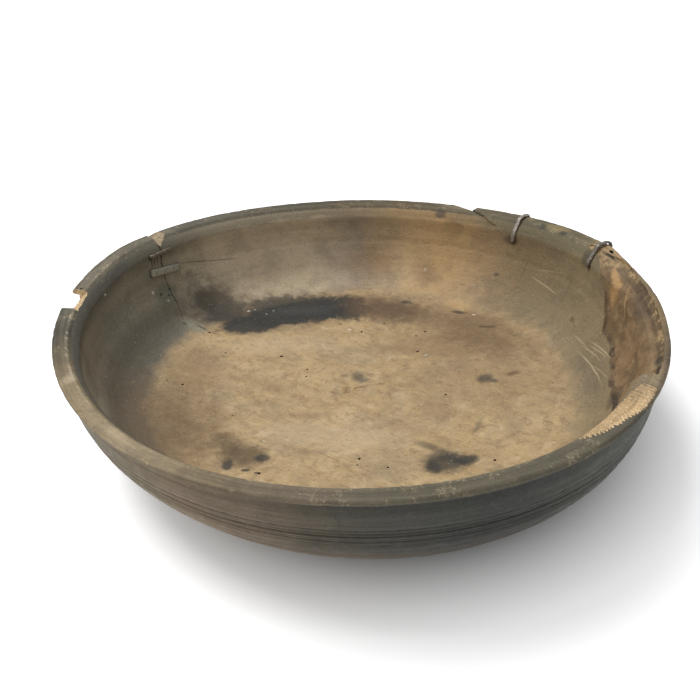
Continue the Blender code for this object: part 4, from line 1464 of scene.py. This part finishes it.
FLOOR_MIDDLE = (0.005, -0.003, 0.0)
FLOOR_TONE_ENDS = 0.1330
FLOOR_TONE_FULL = 0.1200
floor_far = vector_of(wood, "DISTANCE", flat_place.outputs[0], FLOOR_MIDDLE)
floor_edge = wandering(floor_far, soft_patches, 0.018)
on_floor = between(wood, floor_edge, FLOOR_TONE_ENDS, FLOOR_TONE_FULL)
inside_color = mixed(wood, on_floor, wall_color, floor_color)
is_inside = between(wood, inside_share, 0.45, 0.62)
wood_color = mixed(wood, is_inside, outside_color, inside_color)
rim_edge = wandering(rim_share, mottle, 0.5)
on_rim = between(wood, rim_edge, 0.30, 0.62)
wood_color = mixed(wood, on_rim, wood_color, rim_color)

# Stains, blotches and pale worn spots of the floor: middle in mm in plan, half sizes in mm, turn,
# softness, colour and strength.
INK = (0.034, 0.034, 0.031)
BLUE_INK = (0.075, 0.080, 0.080)
DIM_INK = (0.085, 0.075, 0.058)
EARTH = (0.145, 0.092, 0.050)
DRY_EARTH = (0.235, 0.155, 0.082)
PURPLE_EARTH = (0.096, 0.064, 0.036)
OLIVE = (0.050, 0.044, 0.034)
CHALK = (0.68, 0.64, 0.55)
PALE_WEAR = (0.52, 0.40, 0.25)
STAINS = (
    (80.0, -2.0, 46.0, 30.0, -20.0, 0.8, DRY_EARTH, 0.45),
    (62.0, 78.0, 52.0, 17.0, -34.0, 0.7, DRY_EARTH, 0.75),
    (78.0, 36.0, 46.0, 15.0, -26.0, 0.8, DRY_EARTH, 0.70),
    (92.0, 48.0, 30.0, 18.0, -52.0, 0.7, EARTH, 0.60),
    (-108.0, -24.0, 26.0, 46.0, 12.0, 0.8, EARTH, 0.80),
    (-93.0, 34.0, 16.0, 22.0, 10.0, 0.8, DRY_EARTH, 0.60),
    (-45.0, 97.0, 58.0, 21.0, 8.0, 0.45, PURPLE_EARTH, 0.80),
    (-80.0, 98.0, 19.0, 14.0, -35.0, 0.45, OLIVE, 0.92),
    (-28.0, 103.0, 38.0, 15.0, -1.0, 0.20, INK, 0.95),
    (-36.0, 91.0, 32.0, 11.5, 12.0, 0.22, INK, 0.95),
    (-62.0, 80.0, 19.0, 10.0, 10.0, 0.24, INK, 0.93),
    (2.0, 101.0, 18.0, 15.0, -18.0, 0.28, INK, 0.90),
    (-30.0, 98.0, 20.0, 5.0, 4.0, 0.7, BLUE_INK, 0.30),
    (32.0, 95.0, 30.0, 15.0, -25.0, 0.6, (0.118, 0.074, 0.044), 0.88),
    (47.5, 102.0, 4.4, 2.2, -20.0, 0.5, INK, 0.80),
    (83.4, 77.7, 5.4, 1.8, -32.0, 0.5, INK, 0.75),
    (98.0, 52.1, 5.0, 1.4, -20.0, 0.6, PURPLE_EARTH, 0.85),
    (-68.0, -60.0, 15.0, 12.0, -42.0, 0.50, PURPLE_EARTH, 0.78),
    (-78.0, -46.0, 11.0, 6.0, -60.0, 0.7, PURPLE_EARTH, 0.60),
    (-76.3, -69.4, 3.4, 5.2, -10.0, 0.4, INK, 0.85),
    (-56.1, -64.5, 4.6, 3.4, 0.0, 0.45, INK, 0.80),
    (-65.9, -75.8, 2.6, 1.3, -10.0, 0.4, INK, 0.80),
    (-58.5, -79.4, 1.8, 1.1, -10.0, 0.4, INK, 0.80),
    (44.0, -76.5, 11.0, 10.0, 0.0, 0.45, OLIVE, 0.88),
    (54.5, -76.0, 6.4, 4.0, -8.0, 0.45, INK, 0.90),
    (38.5, -80.0, 3.6, 5.6, 10.0, 0.5, INK, 0.70),
    (47.0, -72.5, 6.0, 3.0, 20.0, 0.6, INK, 0.55),
    (38.0, -61.0, 8.0, 2.4, -40.0, 0.7, OLIVE, 0.60),
    (5.5, 15.6, 4.0, 5.0, 0.0, 0.55, DIM_INK, 0.75),
    (9.0, 9.5, 3.4, 2.6, 20.0, 0.6, BLUE_INK, 0.60),
    (-3.0, 17.0, 3.0, 2.0, 40.0, 0.6, DIM_INK, 0.45),
    (82.3, -5.8, 4.8, 4.0, 20.0, 0.5, INK, 0.72),
    (86.5, -9.5, 2.4, 2.0, 0.0, 0.5, DIM_INK, 0.70),
    (98.9, -5.2, 4.2, 2.0, 10.0, 0.6, EARTH, 0.80),
    (66.7, -48.6, 7.0, 1.4, 60.0, 0.7, DIM_INK, 0.45),
    (-28.0, -22.0, 12.0, 4.0, -10.0, 0.8, BROWN_TONE, 0.6),
    (14.0, -40.0, 16.0, 3.0, 8.0, 0.9, BROWN_TONE, 0.5),
    (-50.0, 12.0, 14.0, 5.0, -30.0, 0.9, BROWN_TONE, 0.5),
    (36.0, 44.0, 15.0, 6.0, -12.0, 0.9, BROWN_TONE, 0.6),
    (-20.0, -62.0, 10.0, 2.5, 0.0, 0.8, DIM_INK, 0.30),
    (-90.0, -8.0, 9.0, 5.0, 40.0, 0.8, BROWN_TONE, 0.55),
    (50.0, -30.0, 12.0, 6.0, -40.0, 0.9, BROWN_TONE, 0.45),
    (2.0, -50.0, 22.0, 12.0, 0.0, 0.9, PALE_WEAR, 0.55),
    (-36.0, -40.0, 20.0, 10.0, -20.0, 0.9, PALE_WEAR, 0.50),
    (-40.0, 55.0, 26.0, 10.0, 0.0, 0.9, PALE_WEAR, 0.45),
    (84.0, 88.0, 9.0, 4.0, -45.0, 0.8, (0.50, 0.33, 0.16), 0.60),
    (-64.4, 97.7, 1.3, 0.7, 20.0, 0.4, CHALK, 0.80),
    (-60.4, 99.6, 0.7, 0.5, 0.0, 0.4, CHALK, 0.70),
    (-52.5, 93.8, 0.8, 0.5, -30.0, 0.4, CHALK, 0.50),
    (-48.0, 98.0, 0.7, 0.5, 0.0, 0.4, CHALK, 0.45),
    (3.2, 72.4, 1.0, 0.8, 0.0, 0.4, CHALK, 0.75),
    (52.2, 29.6, 1.1, 0.9, 0.0, 0.4, CHALK, 0.70),
    (92.9, 71.1, 1.2, 0.8, 0.0, 0.4, CHALK, 0.60),
    (-57.3, -35.7, 1.1, 0.6, 0.0, 0.4, CHALK, 0.55),
    (-56.2, -45.8, 0.8, 0.6, 0.0, 0.4, CHALK, 0.55),
)
# Marks on the wall and the roll: direction in degrees, drop in mm, half length round the bowl and half
# height in mm, turn, softness, colour and strength.
WALL_MARKS = (
    (130.0, 49.0, 13.0, 7.0, 0.0, 0.5, OLIVE, 0.85),
    (110.0, 45.0, 42.0, 9.0, 0.0, 0.9, (0.27, 0.205, 0.130), 0.50),
    (141.5, 36.0, 7.0, 6.0, 20.0, 0.4, (0.155, 0.160, 0.120), 0.80),
    (142.5, 34.5, 1.0, 0.8, 0.0, 0.4, INK, 0.80),
    (140.5, 37.0, 0.9, 0.8, 0.0, 0.4, INK, 0.80),
    (139.5, 34.0, 0.8, 0.7, 0.0, 0.4, INK, 0.70),
    (141.5, 39.5, 0.9, 0.6, 0.0, 0.4, CHALK, 0.60),
    (141.8, 12.0, 0.45, 4.2, 8.0, 0.4, INK, 0.85),
    (141.0, 12.6, 0.40, 4.0, 8.0, 0.4, INK, 0.80),
    (140.2, 13.0, 0.40, 3.6, 8.0, 0.4, INK, 0.75),
    (129.8, 24.0, 10.5, 0.40, 13.5, 0.6, DIM_INK, 0.60),
    (122.5, 28.0, 10.5, 0.40, 9.5, 0.6, DIM_INK, 0.50),
    (141.0, 53.5, 4.6, 3.0, 0.0, 0.6, (0.250, 0.235, 0.175), 0.75),
    (142.3, 52.0, 1.2, 0.9, 0.0, 0.5, INK, 0.75),
    (140.0, 54.6, 1.0, 0.7, 0.0, 0.5, INK, 0.70),
    (144.4, 31.2, 1.0, 1.0, 0.0, 0.4, CHALK, 0.80),
    (159.1, 10.8, 1.4, 0.8, 30.0, 0.4, CHALK, 0.75),
    (63.0, 43.0, 1.2, 1.0, 0.0, 0.4, CHALK, 0.75),
    (9.0, 40.8, 1.9, 1.2, 0.0, 0.5, EARTH, 0.80),
    (40.0, 37.6, 2.2, 1.0, -10.0, 0.5, DIM_INK, 0.70),
    (61.0, 4.2, 3.6, 2.4, 0.0, 0.5, INK, 0.65),
    (38.5, 13.5, 5.0, 3.2, 0.0, 0.6, INK, 0.60),
    (13.2, 8.0, 3.2, 4.6, -10.0, 0.6, INK, 0.55),
    (-12.0, 46.0, 26.0, 7.0, 0.0, 0.8, DIM_INK, 0.35),
    (-7.5, 37.2, 15.0, 0.36, -11.0, 0.6, PALE_WEAR, 0.70),
    (-6.4, 39.4, 9.0, 0.30, -13.0, 0.6, PALE_WEAR, 0.60),
    (-9.2, 45.2, 17.0, 0.34, -5.6, 0.6, PALE_WEAR, 0.60),
    (-5.0, 42.6, 11.0, 0.26, -9.0, 0.6, PALE_WEAR, 0.50),
    (-13.0, 42.0, 10.0, 0.26, -14.0, 0.6, PALE_WEAR, 0.45),
    (1.5, 44.0, 8.0, 0.26, -4.0, 0.6, PALE_WEAR, 0.45),
    (23.7, 33.8, 12.0, 0.40, 6.0, 0.6, PALE_WEAR, 0.55),
    (24.0, 25.0, 10.0, 0.36, -12.0, 0.6, PALE_WEAR, 0.35),
    (16.0, 30.0, 0.5, 9.0, 0.0, 0.6, DIM_INK, 0.40),
    (32.0, 30.0, 0.5, 10.0, 4.0, 0.6, DIM_INK, 0.35),
    (-20.0, 20.0, 2.4, 9.0, 0.0, 0.8, PALE_WEAR, 0.25),
    (66.0, 26.0, 26.0, 11.0, 0.0, 0.9, (0.50, 0.33, 0.16), 0.20),
    (80.0, 40.0, 18.0, 8.0, 0.0, 0.8, (0.26, 0.165, 0.085), 0.55),
    (62.0, 45.0, 12.0, 5.0, 10.0, 0.8, (0.26, 0.165, 0.085), 0.55),
    (95.0, 20.0, 14.0, 6.0, 10.0, 0.9, PALE_WEAR, 0.35),
    (110.0, 16.0, 18.0, 5.0, -6.0, 0.9, (0.24, 0.20, 0.14), 0.15),
    (172.0, 22.0, 16.0, 6.0, 10.0, 0.9, (0.30, 0.27, 0.20), 0.45),
    (153.0, 17.0, 12.0, 5.0, -14.0, 0.9, (0.29, 0.26, 0.19), 0.45),
)
ragged_here = noise_of(wood, round_place, RAGGED_SCALE, 4.0, 0.62)
raggedness = times(math_of(wood, "SUBTRACT", ragged_here, 0.5), 1.15)
UNROLL_RADIUS = 0.150
wall_place = add_node(wood, "ShaderNodeCombineXYZ")
feed(wood, times(angle_here, UNROLL_RADIUS), wall_place.inputs["X"])
feed(wood, height_here, wall_place.inputs["Y"])
on_wall = times(is_inside, between(wood, radius_here, 0.112, 0.118))


def stained(color, place, middle, half_length, half_width, turn, softness, tone, strength):
    """A colour with one spot laid on it; strength is a number or a mask times a number."""
    spot = add_node(wood, "ShaderNodeGroup", node_tree=STAIN_SPOT)
    feed(wood, place, spot.inputs["Place"])
    feed(wood, raggedness, spot.inputs["Raggedness"])
    spot.inputs["Middle"].default_value = middle
    spot.inputs["Half size"].default_value = (half_length / 1000.0, half_width / 1000.0, 1.0)
    spot.inputs["Turn"].default_value = -math.radians(turn)
    spot.inputs["Softness"].default_value = softness
    return mixed(wood, times(spot.outputs[0], strength), color, tone)


def marks_in_plan(color, rows):
    """A colour with spots laid on it in plan, each a row of the kind that STAINS has."""
    for x, y, length, width, turn, softness, tone, strength in rows:
        middle = (x / 1000.0, y / 1000.0, 0.0)
        color = stained(color, flat_place.outputs[0], middle, length, width, turn, softness, tone, strength)
    return color


def marks_on_wall(color, rows):
    """A colour with spots laid on the unrolled wall, each a row of the kind that WALL_MARKS has."""
    for degrees, drop, length, width, turn, softness, tone, strength in rows:
        middle = (math.radians(degrees) * UNROLL_RADIUS, HEIGHT - drop / 1000.0, 0.0)
        color = stained(color, wall_place.outputs[0], middle, length, width, turn, softness, tone, strength)
    return color


wood_color = mixed(wood, is_inside, wood_color, marks_in_plan(wood_color, STAINS))
wood_color = mixed(wood, on_wall, wood_color, marks_on_wall(wood_color, WALL_MARKS))

# The rim's own marks, in plan: pale and yellow wear, dark spots, and a painted highlight, a thin pale line
# at the inner edge on the left.
RIM_MARKS = (
    (145.8, 74.5, 9.0, 3.2, -62.0, 0.6, (0.290, 0.225, 0.105), 0.80),
    (138.0, 83.0, 3.0, 1.6, -60.0, 0.5, INK, 0.75),
    (146.8, 66.5, 3.0, 1.6, -65.0, 0.5, INK, 0.75),
    (-158.0, -45.0, 6.0, 3.0, 65.0, 0.7, (0.46, 0.37, 0.25), 0.70),
    (-128.0, -101.0, 10.0, 2.2, -50.0, 0.7, (0.42, 0.33, 0.21), 0.60),
    (91.0, 137.0, 12.0, 2.0, -33.0, 0.7, (0.36, 0.30, 0.20), 0.40),
)
rim_marked = marks_in_plan(wood_color, RIM_MARKS)
# Painted highlight: a thin pale line along the rim's inner edge, strongest on the left, toward the lamp.
edge_highlight = times(between(wood, radius_here, 0.1600, 0.1610), between(wood, radius_here, 0.1626, 0.1616))
edge_highlight = times(edge_highlight, between(wood, mottle, 0.44, 0.62, 0.15, 0.75))
edge_highlight = times(edge_highlight, between(wood, place_split.outputs["X"], -0.138, -0.156, 0.10, 0.85))
rim_marked = mixed(wood, edge_highlight, rim_marked, RIM_EDGE_HIGHLIGHT)
worn_flecks = times(between(wood, speckle, 0.50, 0.66), between(wood, mottle, 0.52, 0.62, 0.0, 0.34))
rim_marked = mixed(wood, worn_flecks, rim_marked, RIM_FLECKS)
wood_color = mixed(wood, between(wood, rim_share, 0.3, 0.6), wood_color, rim_marked)

# The broken block at the right: pale worn top and the orange face where a splinter came away.
BLOCK_MARKS = (
    (163.0, 31.5, 14.0, 5.6, -80.0, 0.35, (0.345, 0.240, 0.130), 0.90),
    (161.0, 24.5, 6.0, 0.50, -62.0, 0.4, INK, 0.80),
)

# Fresh breaks, the torn layer, the burrows and the crack.
fresh_mark = attribute_of(wood, "fresh", "Fac")
torn_mark = attribute_of(wood, "torn", "Fac")
burrow_mark = attribute_of(wood, "burrow", "Fac")
torn_edge = attribute_of(wood, "torn_edge", "Fac")
fresh_tone = mixed(wood, between(wood, fibres, 0.35, 0.7), FRESH_FIBRES, FRESH_WOOD)
bevel_end = times(
    between(wood, angle_here, math.radians(-44.5), math.radians(-37.0)),
    between(wood, angle_here, math.radians(-20.0), math.radians(-30.0), 0.0, 0.62),
)
fresh_tone = mixed(wood, bevel_end, fresh_tone, BEVEL_END)
torn_tone = mixed(wood, between(wood, bands, 0.35, 0.65), TORN_BROWN, TORN_TAN)
torn_tone = mixed(wood, between(wood, soft_patches, 0.54, 0.70, 0.0, 0.6), torn_tone, TORN_PALE)
torn_tone = mixed(
    wood, between(wood, height_here, 0.074, 0.0815, 0.0, 0.45), torn_tone, TORN_DARK
)
torn_top = times(between(wood, height_here, 0.0765, 0.0815), between(wood, mottle, 0.50, 0.60))
torn_tone = mixed(wood, times(torn_top, 0.75), torn_tone, TORN_GOLD)
TORN_MARKS = (
    (-4.0, 13.2, 8.5, 0.9, 45.0, 0.6, (0.38, 0.25, 0.125), 0.75),
    (-9.0, 20.0, 9.0, 0.7, 50.0, 0.6, (0.30, 0.20, 0.105), 0.60),
    (-8.5, 6.0, 14.0, 5.0, 14.0, 0.6, (0.085, 0.060, 0.042), 0.65),
    (-13.0, 18.4, 8.0, 6.0, 30.0, 0.6, (0.300, 0.205, 0.118), 0.25),
    (-22.0, 24.0, 9.0, 4.0, 20.0, 0.7, (0.105, 0.072, 0.045), 0.45),
    (-27.5, 4.0, 3.4, 2.0, 0.0, 0.5, INK, 0.75),
    (-31.0, 2.4, 4.0, 2.2, 0.0, 0.5, INK, 0.75),
)
# Painted shade: a dark patch at the foot of the torn layer, in its crease.
TEAR_FOOT_PAINTED_SHADE = ((-24.5, 36.5, 8.0, 3.2, 10.0, 0.6, (0.075, 0.055, 0.038), 0.70),)
SPLINTER_FACE = ((161.8, 10.5, 10.5, 3.6, 68.0, 0.3, (0.44, 0.265, 0.118), 0.95),)
wood_color = mixed(wood, torn_mark, wood_color, marks_on_wall(torn_tone, TORN_MARKS))
wood_color = mixed(wood, is_inside, wood_color, marks_on_wall(wood_color, TEAR_FOOT_PAINTED_SHADE))
block_color = marks_in_plan(wood_color, BLOCK_MARKS)
wood_color = mixed(wood, between(wood, rim_share, 0.05, 0.3), wood_color, block_color)
wood_color = mixed(wood, is_inside, wood_color, marks_in_plan(wood_color, SPLINTER_FACE))
wood_color = mixed(wood, fresh_mark, wood_color, fresh_tone)
# Painted shadow: the crease along the torn layer's lower edge is painted dark, as the shade in the step
# there.
crease_painted_shade = times(between(wood, torn_edge, 0.20, 0.80), between(wood, mottle, 0.40, 0.56, 0.25, 0.90))
crease_painted_shade = times(crease_painted_shade, between(wood, angle_here, math.radians(1.0), math.radians(-8.0), 0.25, 1.0))
wood_color = mixed(wood, crease_painted_shade, wood_color, CREASE_PAINTED_SHADE)
# Painted shade: the insides of the worm holes and the knot hole are painted near black.
wood_color = mixed(wood, burrow_mark, wood_color, HOLE_PAINTED_SHADE)

# The turned lines of the outside hold dark dirt: where the band of them starts and how high it is, half a
# line's width as a share of it, and each line's drop and how dark it is.
GROOVE_TOP = 0.0195
GROOVE_BAND = 0.0140
GROOVE_HALF_WIDTH = 0.034
GROOVE_DIRT = (
    (0.0208, 0.75), (0.0226, 0.45), (0.0247, 0.80), (0.0268, 0.50), (0.0288, 0.95), (0.0312, 0.55)
)
groove_stops = []
for drop, dirt in GROOVE_DIRT:
    share = (drop - GROOVE_TOP) / GROOVE_BAND
    for away, amount in ((-GROOVE_HALF_WIDTH, 0.0), (0.0, dirt), (GROOVE_HALF_WIDTH, 0.0)):
        groove_stops.append((share + away, (amount, amount, amount)))
groove_drop = math_of(wood, "SUBTRACT", HEIGHT - GROOVE_TOP, height_here)
groove_place = math_of(wood, "DIVIDE", groove_drop, GROOVE_BAND)
groove_dirt = turned_colors(wood, groove_place, groove_stops)
groove_dirt = times(groove_dirt, between(wood, mottle, 0.36, 0.56, 0.35, 1.0))
groove_dirt = times(groove_dirt, math_of(wood, "SUBTRACT", 1.0, is_inside))
wood_color = mixed(wood, groove_dirt, wood_color, LINE_DIRT)

# Tiny pale grains and dark specks of dust in the wood's surface.
dust = times(between(wood, speckle, 0.690, 0.730, 0.0, 0.50), is_inside)
wood_color = mixed(wood, dust, wood_color, DUST)
specks = between(wood, speckle, 0.320, 0.275, 0.0, 0.55)
wood_color = mixed(wood, specks, wood_color, SPECKS)

# Fibres, pores and rings over everything; the rings are plain on the outside and faint inside.
fibre_shade = between(wood, fibres, 0.25, 0.75, 0.91, 1.09)
ring_depth = between(wood, is_inside, 0.0, 1.0, 0.16, 0.026)
ring_shade = math_of(wood, "MULTIPLY_ADD", between(wood, rings, 0.3, 0.7, -1.0, 1.0), ring_depth, 1.0)
wide_shade = math_of(
    wood, "MULTIPLY_ADD", between(wood, wide_rings, 0.35, 0.65, -1.0, 1.0), ring_depth, 1.0
)
speckle_shade = between(wood, speckle, 0.3, 0.7, 0.93, 1.06)
shade = times(times(fibre_shade, ring_shade), speckle_shade)
shade = times(shade, wide_shade)
shaded = add_node(wood, "ShaderNodeVectorMath", operation="SCALE")
feed(wood, wood_color, shaded.inputs[0])
feed(wood, shade, shaded.inputs[3])
pore_share = times(pores, 0.42)
final_color = mixed(wood, pore_share, shaded.outputs[0], PORE_DARK)
feed(wood, final_color, wood_shader.inputs["Base Color"])
wood_roughness = between(wood, mottle, 0.3, 0.7, 0.55, 0.76)
feed(wood, wood_roughness, wood_shader.inputs["Roughness"])
wood_shader.inputs["Specular IOR Level"].default_value = 0.28

relief = math_of(wood, "ADD", times(fibres, 0.45), times(rings, 0.40))
relief = math_of(wood, "ADD", relief, times(mottle, 0.55))
relief = math_of(wood, "SUBTRACT", relief, times(pores, 0.5))
wood_bump = add_node(wood, "ShaderNodeBump")
wood_bump.inputs["Strength"].default_value = 0.55
wood_bump.inputs["Distance"].default_value = 0.00035
feed(wood, relief, wood_bump.inputs["Height"])
feed(wood, wood_bump.outputs[0], wood_shader.inputs["Normal"])

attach(bowl, "root")
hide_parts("bowl")


# The staples as bodies: a rounded strap swept along its line, with squared ends, then moved with the
# wood to its dried place.
EDGE_WEAR = 0.00008
FACE_WEAR = 0.00006


def strap_body(name, path, width, thickness, place, corner=0.35, sides=12):
    """A strap with a rounded section along a path of points in its frame's X and Y."""
    loops = []
    for i, point in enumerate(path):
        before = path[max(i - 1, 0)]
        after = path[min(i + 1, len(path) - 1)]
        along = (after - before).normalized()
        normal = Vector((-along.y, along.x))
        loop = []
        for k in range(sides):
            turn = math.tau * (k + 0.5) / sides
            c, s = math.cos(turn), math.sin(turn)
            across = 0.5 * width * math.copysign(abs(c) ** corner, c)
            lift = 0.5 * thickness * math.copysign(abs(s) ** corner, s)
            flat = point + normal * lift
            here = Vector((flat.x, flat.y, across))
            here += Vector((0.0, 0.0, 1.0)) * EDGE_WEAR * noise.noise(here * 700.0)
            uneven = noise.noise(here * 450.0 + Vector((3.0, 1.0, 2.0)))
            here += Vector((normal.x, normal.y, 0.0)) * FACE_WEAR * uneven
            loop.append(dried(place @ here))
        loops.append(loop)
    mesh = closed_mesh(name, loops)
    mesh.shade_smooth()
    mesh.set_sharp_from_angle(angle=math.radians(50.0))
    return add_object(name, mesh)


def rounded_path(corners, radius, step=0.0005):
    """A path through corners with each corner rounded, in short steps."""
    soft = [corners[0]]
    for before, corner, after in zip(corners[:-2], corners[1:-1], corners[2:]):
        reach = min(radius, 0.45 * (corner - before).length, 0.45 * (after - corner).length)
        start = corner + (before - corner).normalized() * reach
        end = corner + (after - corner).normalized() * reach
        for share in steps(0.0, 1.0, 6):
            soft.append((start.lerp(corner, share)).lerp(corner.lerp(end, share), share))
    soft.append(corners[-1])
    path = [soft[0]]
    for first, second in zip(soft[:-1], soft[1:]):
        parts = max(1, round((second - first).length / step))
        path += [first.lerp(second, i / parts) for i in range(1, parts + 1)]
    return path


def metal_group():
    """Metal surface marks: blotches, fine scratches and specks."""
    group, given, result = new_group(
        "metal marks",
        "ShaderNodeTree",
        (("Place", "vector", (0.0, 0.0, 0.0)), ("Size", "value", 0.001)),
        (("Blotches", "value"), ("Scratches", "value"), ("Specks", "value")),
    )
    scale = math_of(group, "DIVIDE", 1.0, given.outputs["Size"])
    here = vector_of(group, "SCALE", given.outputs["Place"], scale)
    feed(group, noise_of(group, here, 0.6, 4.0, 0.65), result.inputs["Blotches"])
    drawn = vector_of(group, "MULTIPLY", here, (1.0, 0.12, 1.0))
    feed(group, noise_of(group, drawn, 3.0, 2.0, 0.6), result.inputs["Scratches"])
    feed(group, noise_of(group, here, 3.5, 2.0, 0.7), result.inputs["Specks"])
    return group


METAL_MARKS = metal_group()


def metal_finish(name, clean, dirty, clean_roughness, dirty_roughness, metallic, dirt_from, dirt_to):
    """A metal with blotches of dirt or rust, scratches and small pits."""
    material = bpy.data.materials.new(name)
    material.use_nodes = True
    tree = material.node_tree
    shader = tree.nodes["Principled BSDF"]
    place = add_node(tree, "ShaderNodeTexCoord").outputs["Object"]
    marks = add_node(tree, "ShaderNodeGroup", node_tree=METAL_MARKS)
    feed(tree, place, marks.inputs["Place"])
    dirt = between(tree, marks.outputs["Blotches"], dirt_from, dirt_to)
    color = mixed(tree, dirt, clean, dirty)
    shade = between(tree, marks.outputs["Scratches"], 0.3, 0.7, 0.8, 1.15)
    scaled = add_node(tree, "ShaderNodeVectorMath", operation="SCALE")
    feed(tree, color, scaled.inputs[0])
    feed(tree, shade, scaled.inputs[3])
    feed(tree, scaled.outputs[0], shader.inputs["Base Color"])
    feed(tree, between(tree, dirt, 0.0, 1.0, clean_roughness, dirty_roughness), shader.inputs["Roughness"])
    feed(tree, between(tree, dirt, 0.0, 1.0, metallic, metallic * 0.35), shader.inputs["Metallic"])
    height = math_of(
        tree, "ADD", marks.outputs["Specks"], math_of(tree, "MULTIPLY", marks.outputs["Scratches"], 0.6)
    )
    bump = add_node(tree, "ShaderNodeBump")
    bump.inputs["Strength"].default_value = 0.5
    bump.inputs["Distance"].default_value = 0.0001
    feed(tree, height, bump.inputs["Height"])
    feed(tree, bump.outputs[0], shader.inputs["Normal"])
    return material


rusty_iron = metal_finish(
    "rusty iron", (0.25, 0.23, 0.19), (0.13, 0.095, 0.062), 0.50, 0.85, 0.7, 0.44, 0.60
)
dull_zinc = metal_finish("dull zinc", (0.40, 0.41, 0.35), (0.26, 0.25, 0.20), 0.50, 0.75, 0.6, 0.50, 0.66)
bright_wire = metal_finish(
    "bright wire", (0.46, 0.42, 0.37), (0.22, 0.18, 0.14), 0.42, 0.7, 0.8, 0.46, 0.64
)
dull_wire = metal_finish("dull wire", (0.27, 0.25, 0.215), (0.13, 0.105, 0.080), 0.55, 0.8, 0.7, 0.42, 0.60)


def crack_staple(name, node, staple, material, corner):
    """A staple over the long crack: a straight crown on the wall with a leg driven in at each end."""
    crown, sag = crown_height(staple["length"])
    middle = crown + 0.5 * staple["thickness"]
    half = 0.5 * (staple["length"] - staple["thickness"])
    foot = crown - STAPLE_LEG - sag
    corners = [Vector((-half, foot)), Vector((-half, middle)), Vector((half, middle)), Vector((half, foot))]
    path = rounded_path(corners, 0.9 * staple["thickness"])
    place = wall_frame(CRACK_ANGLE, staple["drop"], staple["turn"])
    piece = strap_body(name, path, staple["width"], staple["thickness"], place, corner)
    piece.data.materials.append(material)
    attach(piece, "root")
    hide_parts(node)
    return piece


# The upper staple over the long crack: a thin rusty iron wire, driven into the wall on both sides.
crack_staple("upper_staple_wire", "wire_staple_upper", UPPER_STAPLE, rusty_iron, 0.6)


# The lower staple over the long crack: a wide flat strap of dull grey metal, driven in the same way.
crack_staple("lower_staple_strap", "strap_staple_lower", LOWER_STAPLE, dull_zinc, 0.3)


# The two rim staples, at the back split and beside the broken block: flat wire, bright at the back and
# dull at the side, bent over the lip, with one leg in the inside of the wall and the other under the lip.
def rim_staple(name, node, staple, material):
    """A staple bent over the rim, standing off the wood by its clearance."""
    path = rim_staple_path(staple)
    stand = CLEARANCE + 0.5 * staple["width"] * abs(math.sin(staple["turn"])) + 0.5 * RIM_STAPLE_THICKNESS
    moved = []
    for i, point in enumerate(path):
        before = (point - path[i - 1]).normalized() if i > 0 else None
        after = (path[i + 1] - point).normalized() if i < len(path) - 1 else None
        before = before or after
        after = after or before
        normal = Vector((-before.y - after.y, before.x + after.x)).normalized()
        square = Vector((-before.y, before.x))
        moved.append(point + normal * stand / max(normal.dot(square), 0.5))
    half = 0.5 * RIM_STAPLE_THICKNESS
    inner_leg = Vector((path[0].x + RIM_STAPLE_LEG, path[0].y - half))
    outer_leg = Vector((path[-1].x - RIM_STAPLE_LEG, path[-1].y - half))
    start = Vector((moved[0].x, path[0].y - half))
    end = Vector((moved[-1].x, path[-1].y - half))
    corners = [inner_leg, start] + moved[1:-1] + [end, outer_leg]
    path_line = rounded_path(corners, 0.0026, 0.0003)
    place = rim_frame(staple["angle"], staple["turn"])
    piece = strap_body(name, path_line, staple["width"], RIM_STAPLE_THICKNESS, place, 0.45)
    piece.data.materials.append(material)
    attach(piece, "root")
    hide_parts(node)
    return piece


rim_staple("back_rim_staple", "rim_staple_back", BACK_STAPLE, bright_wire)
rim_staple("side_rim_staple", "rim_staple_side", SIDE_STAPLE, dull_wire)
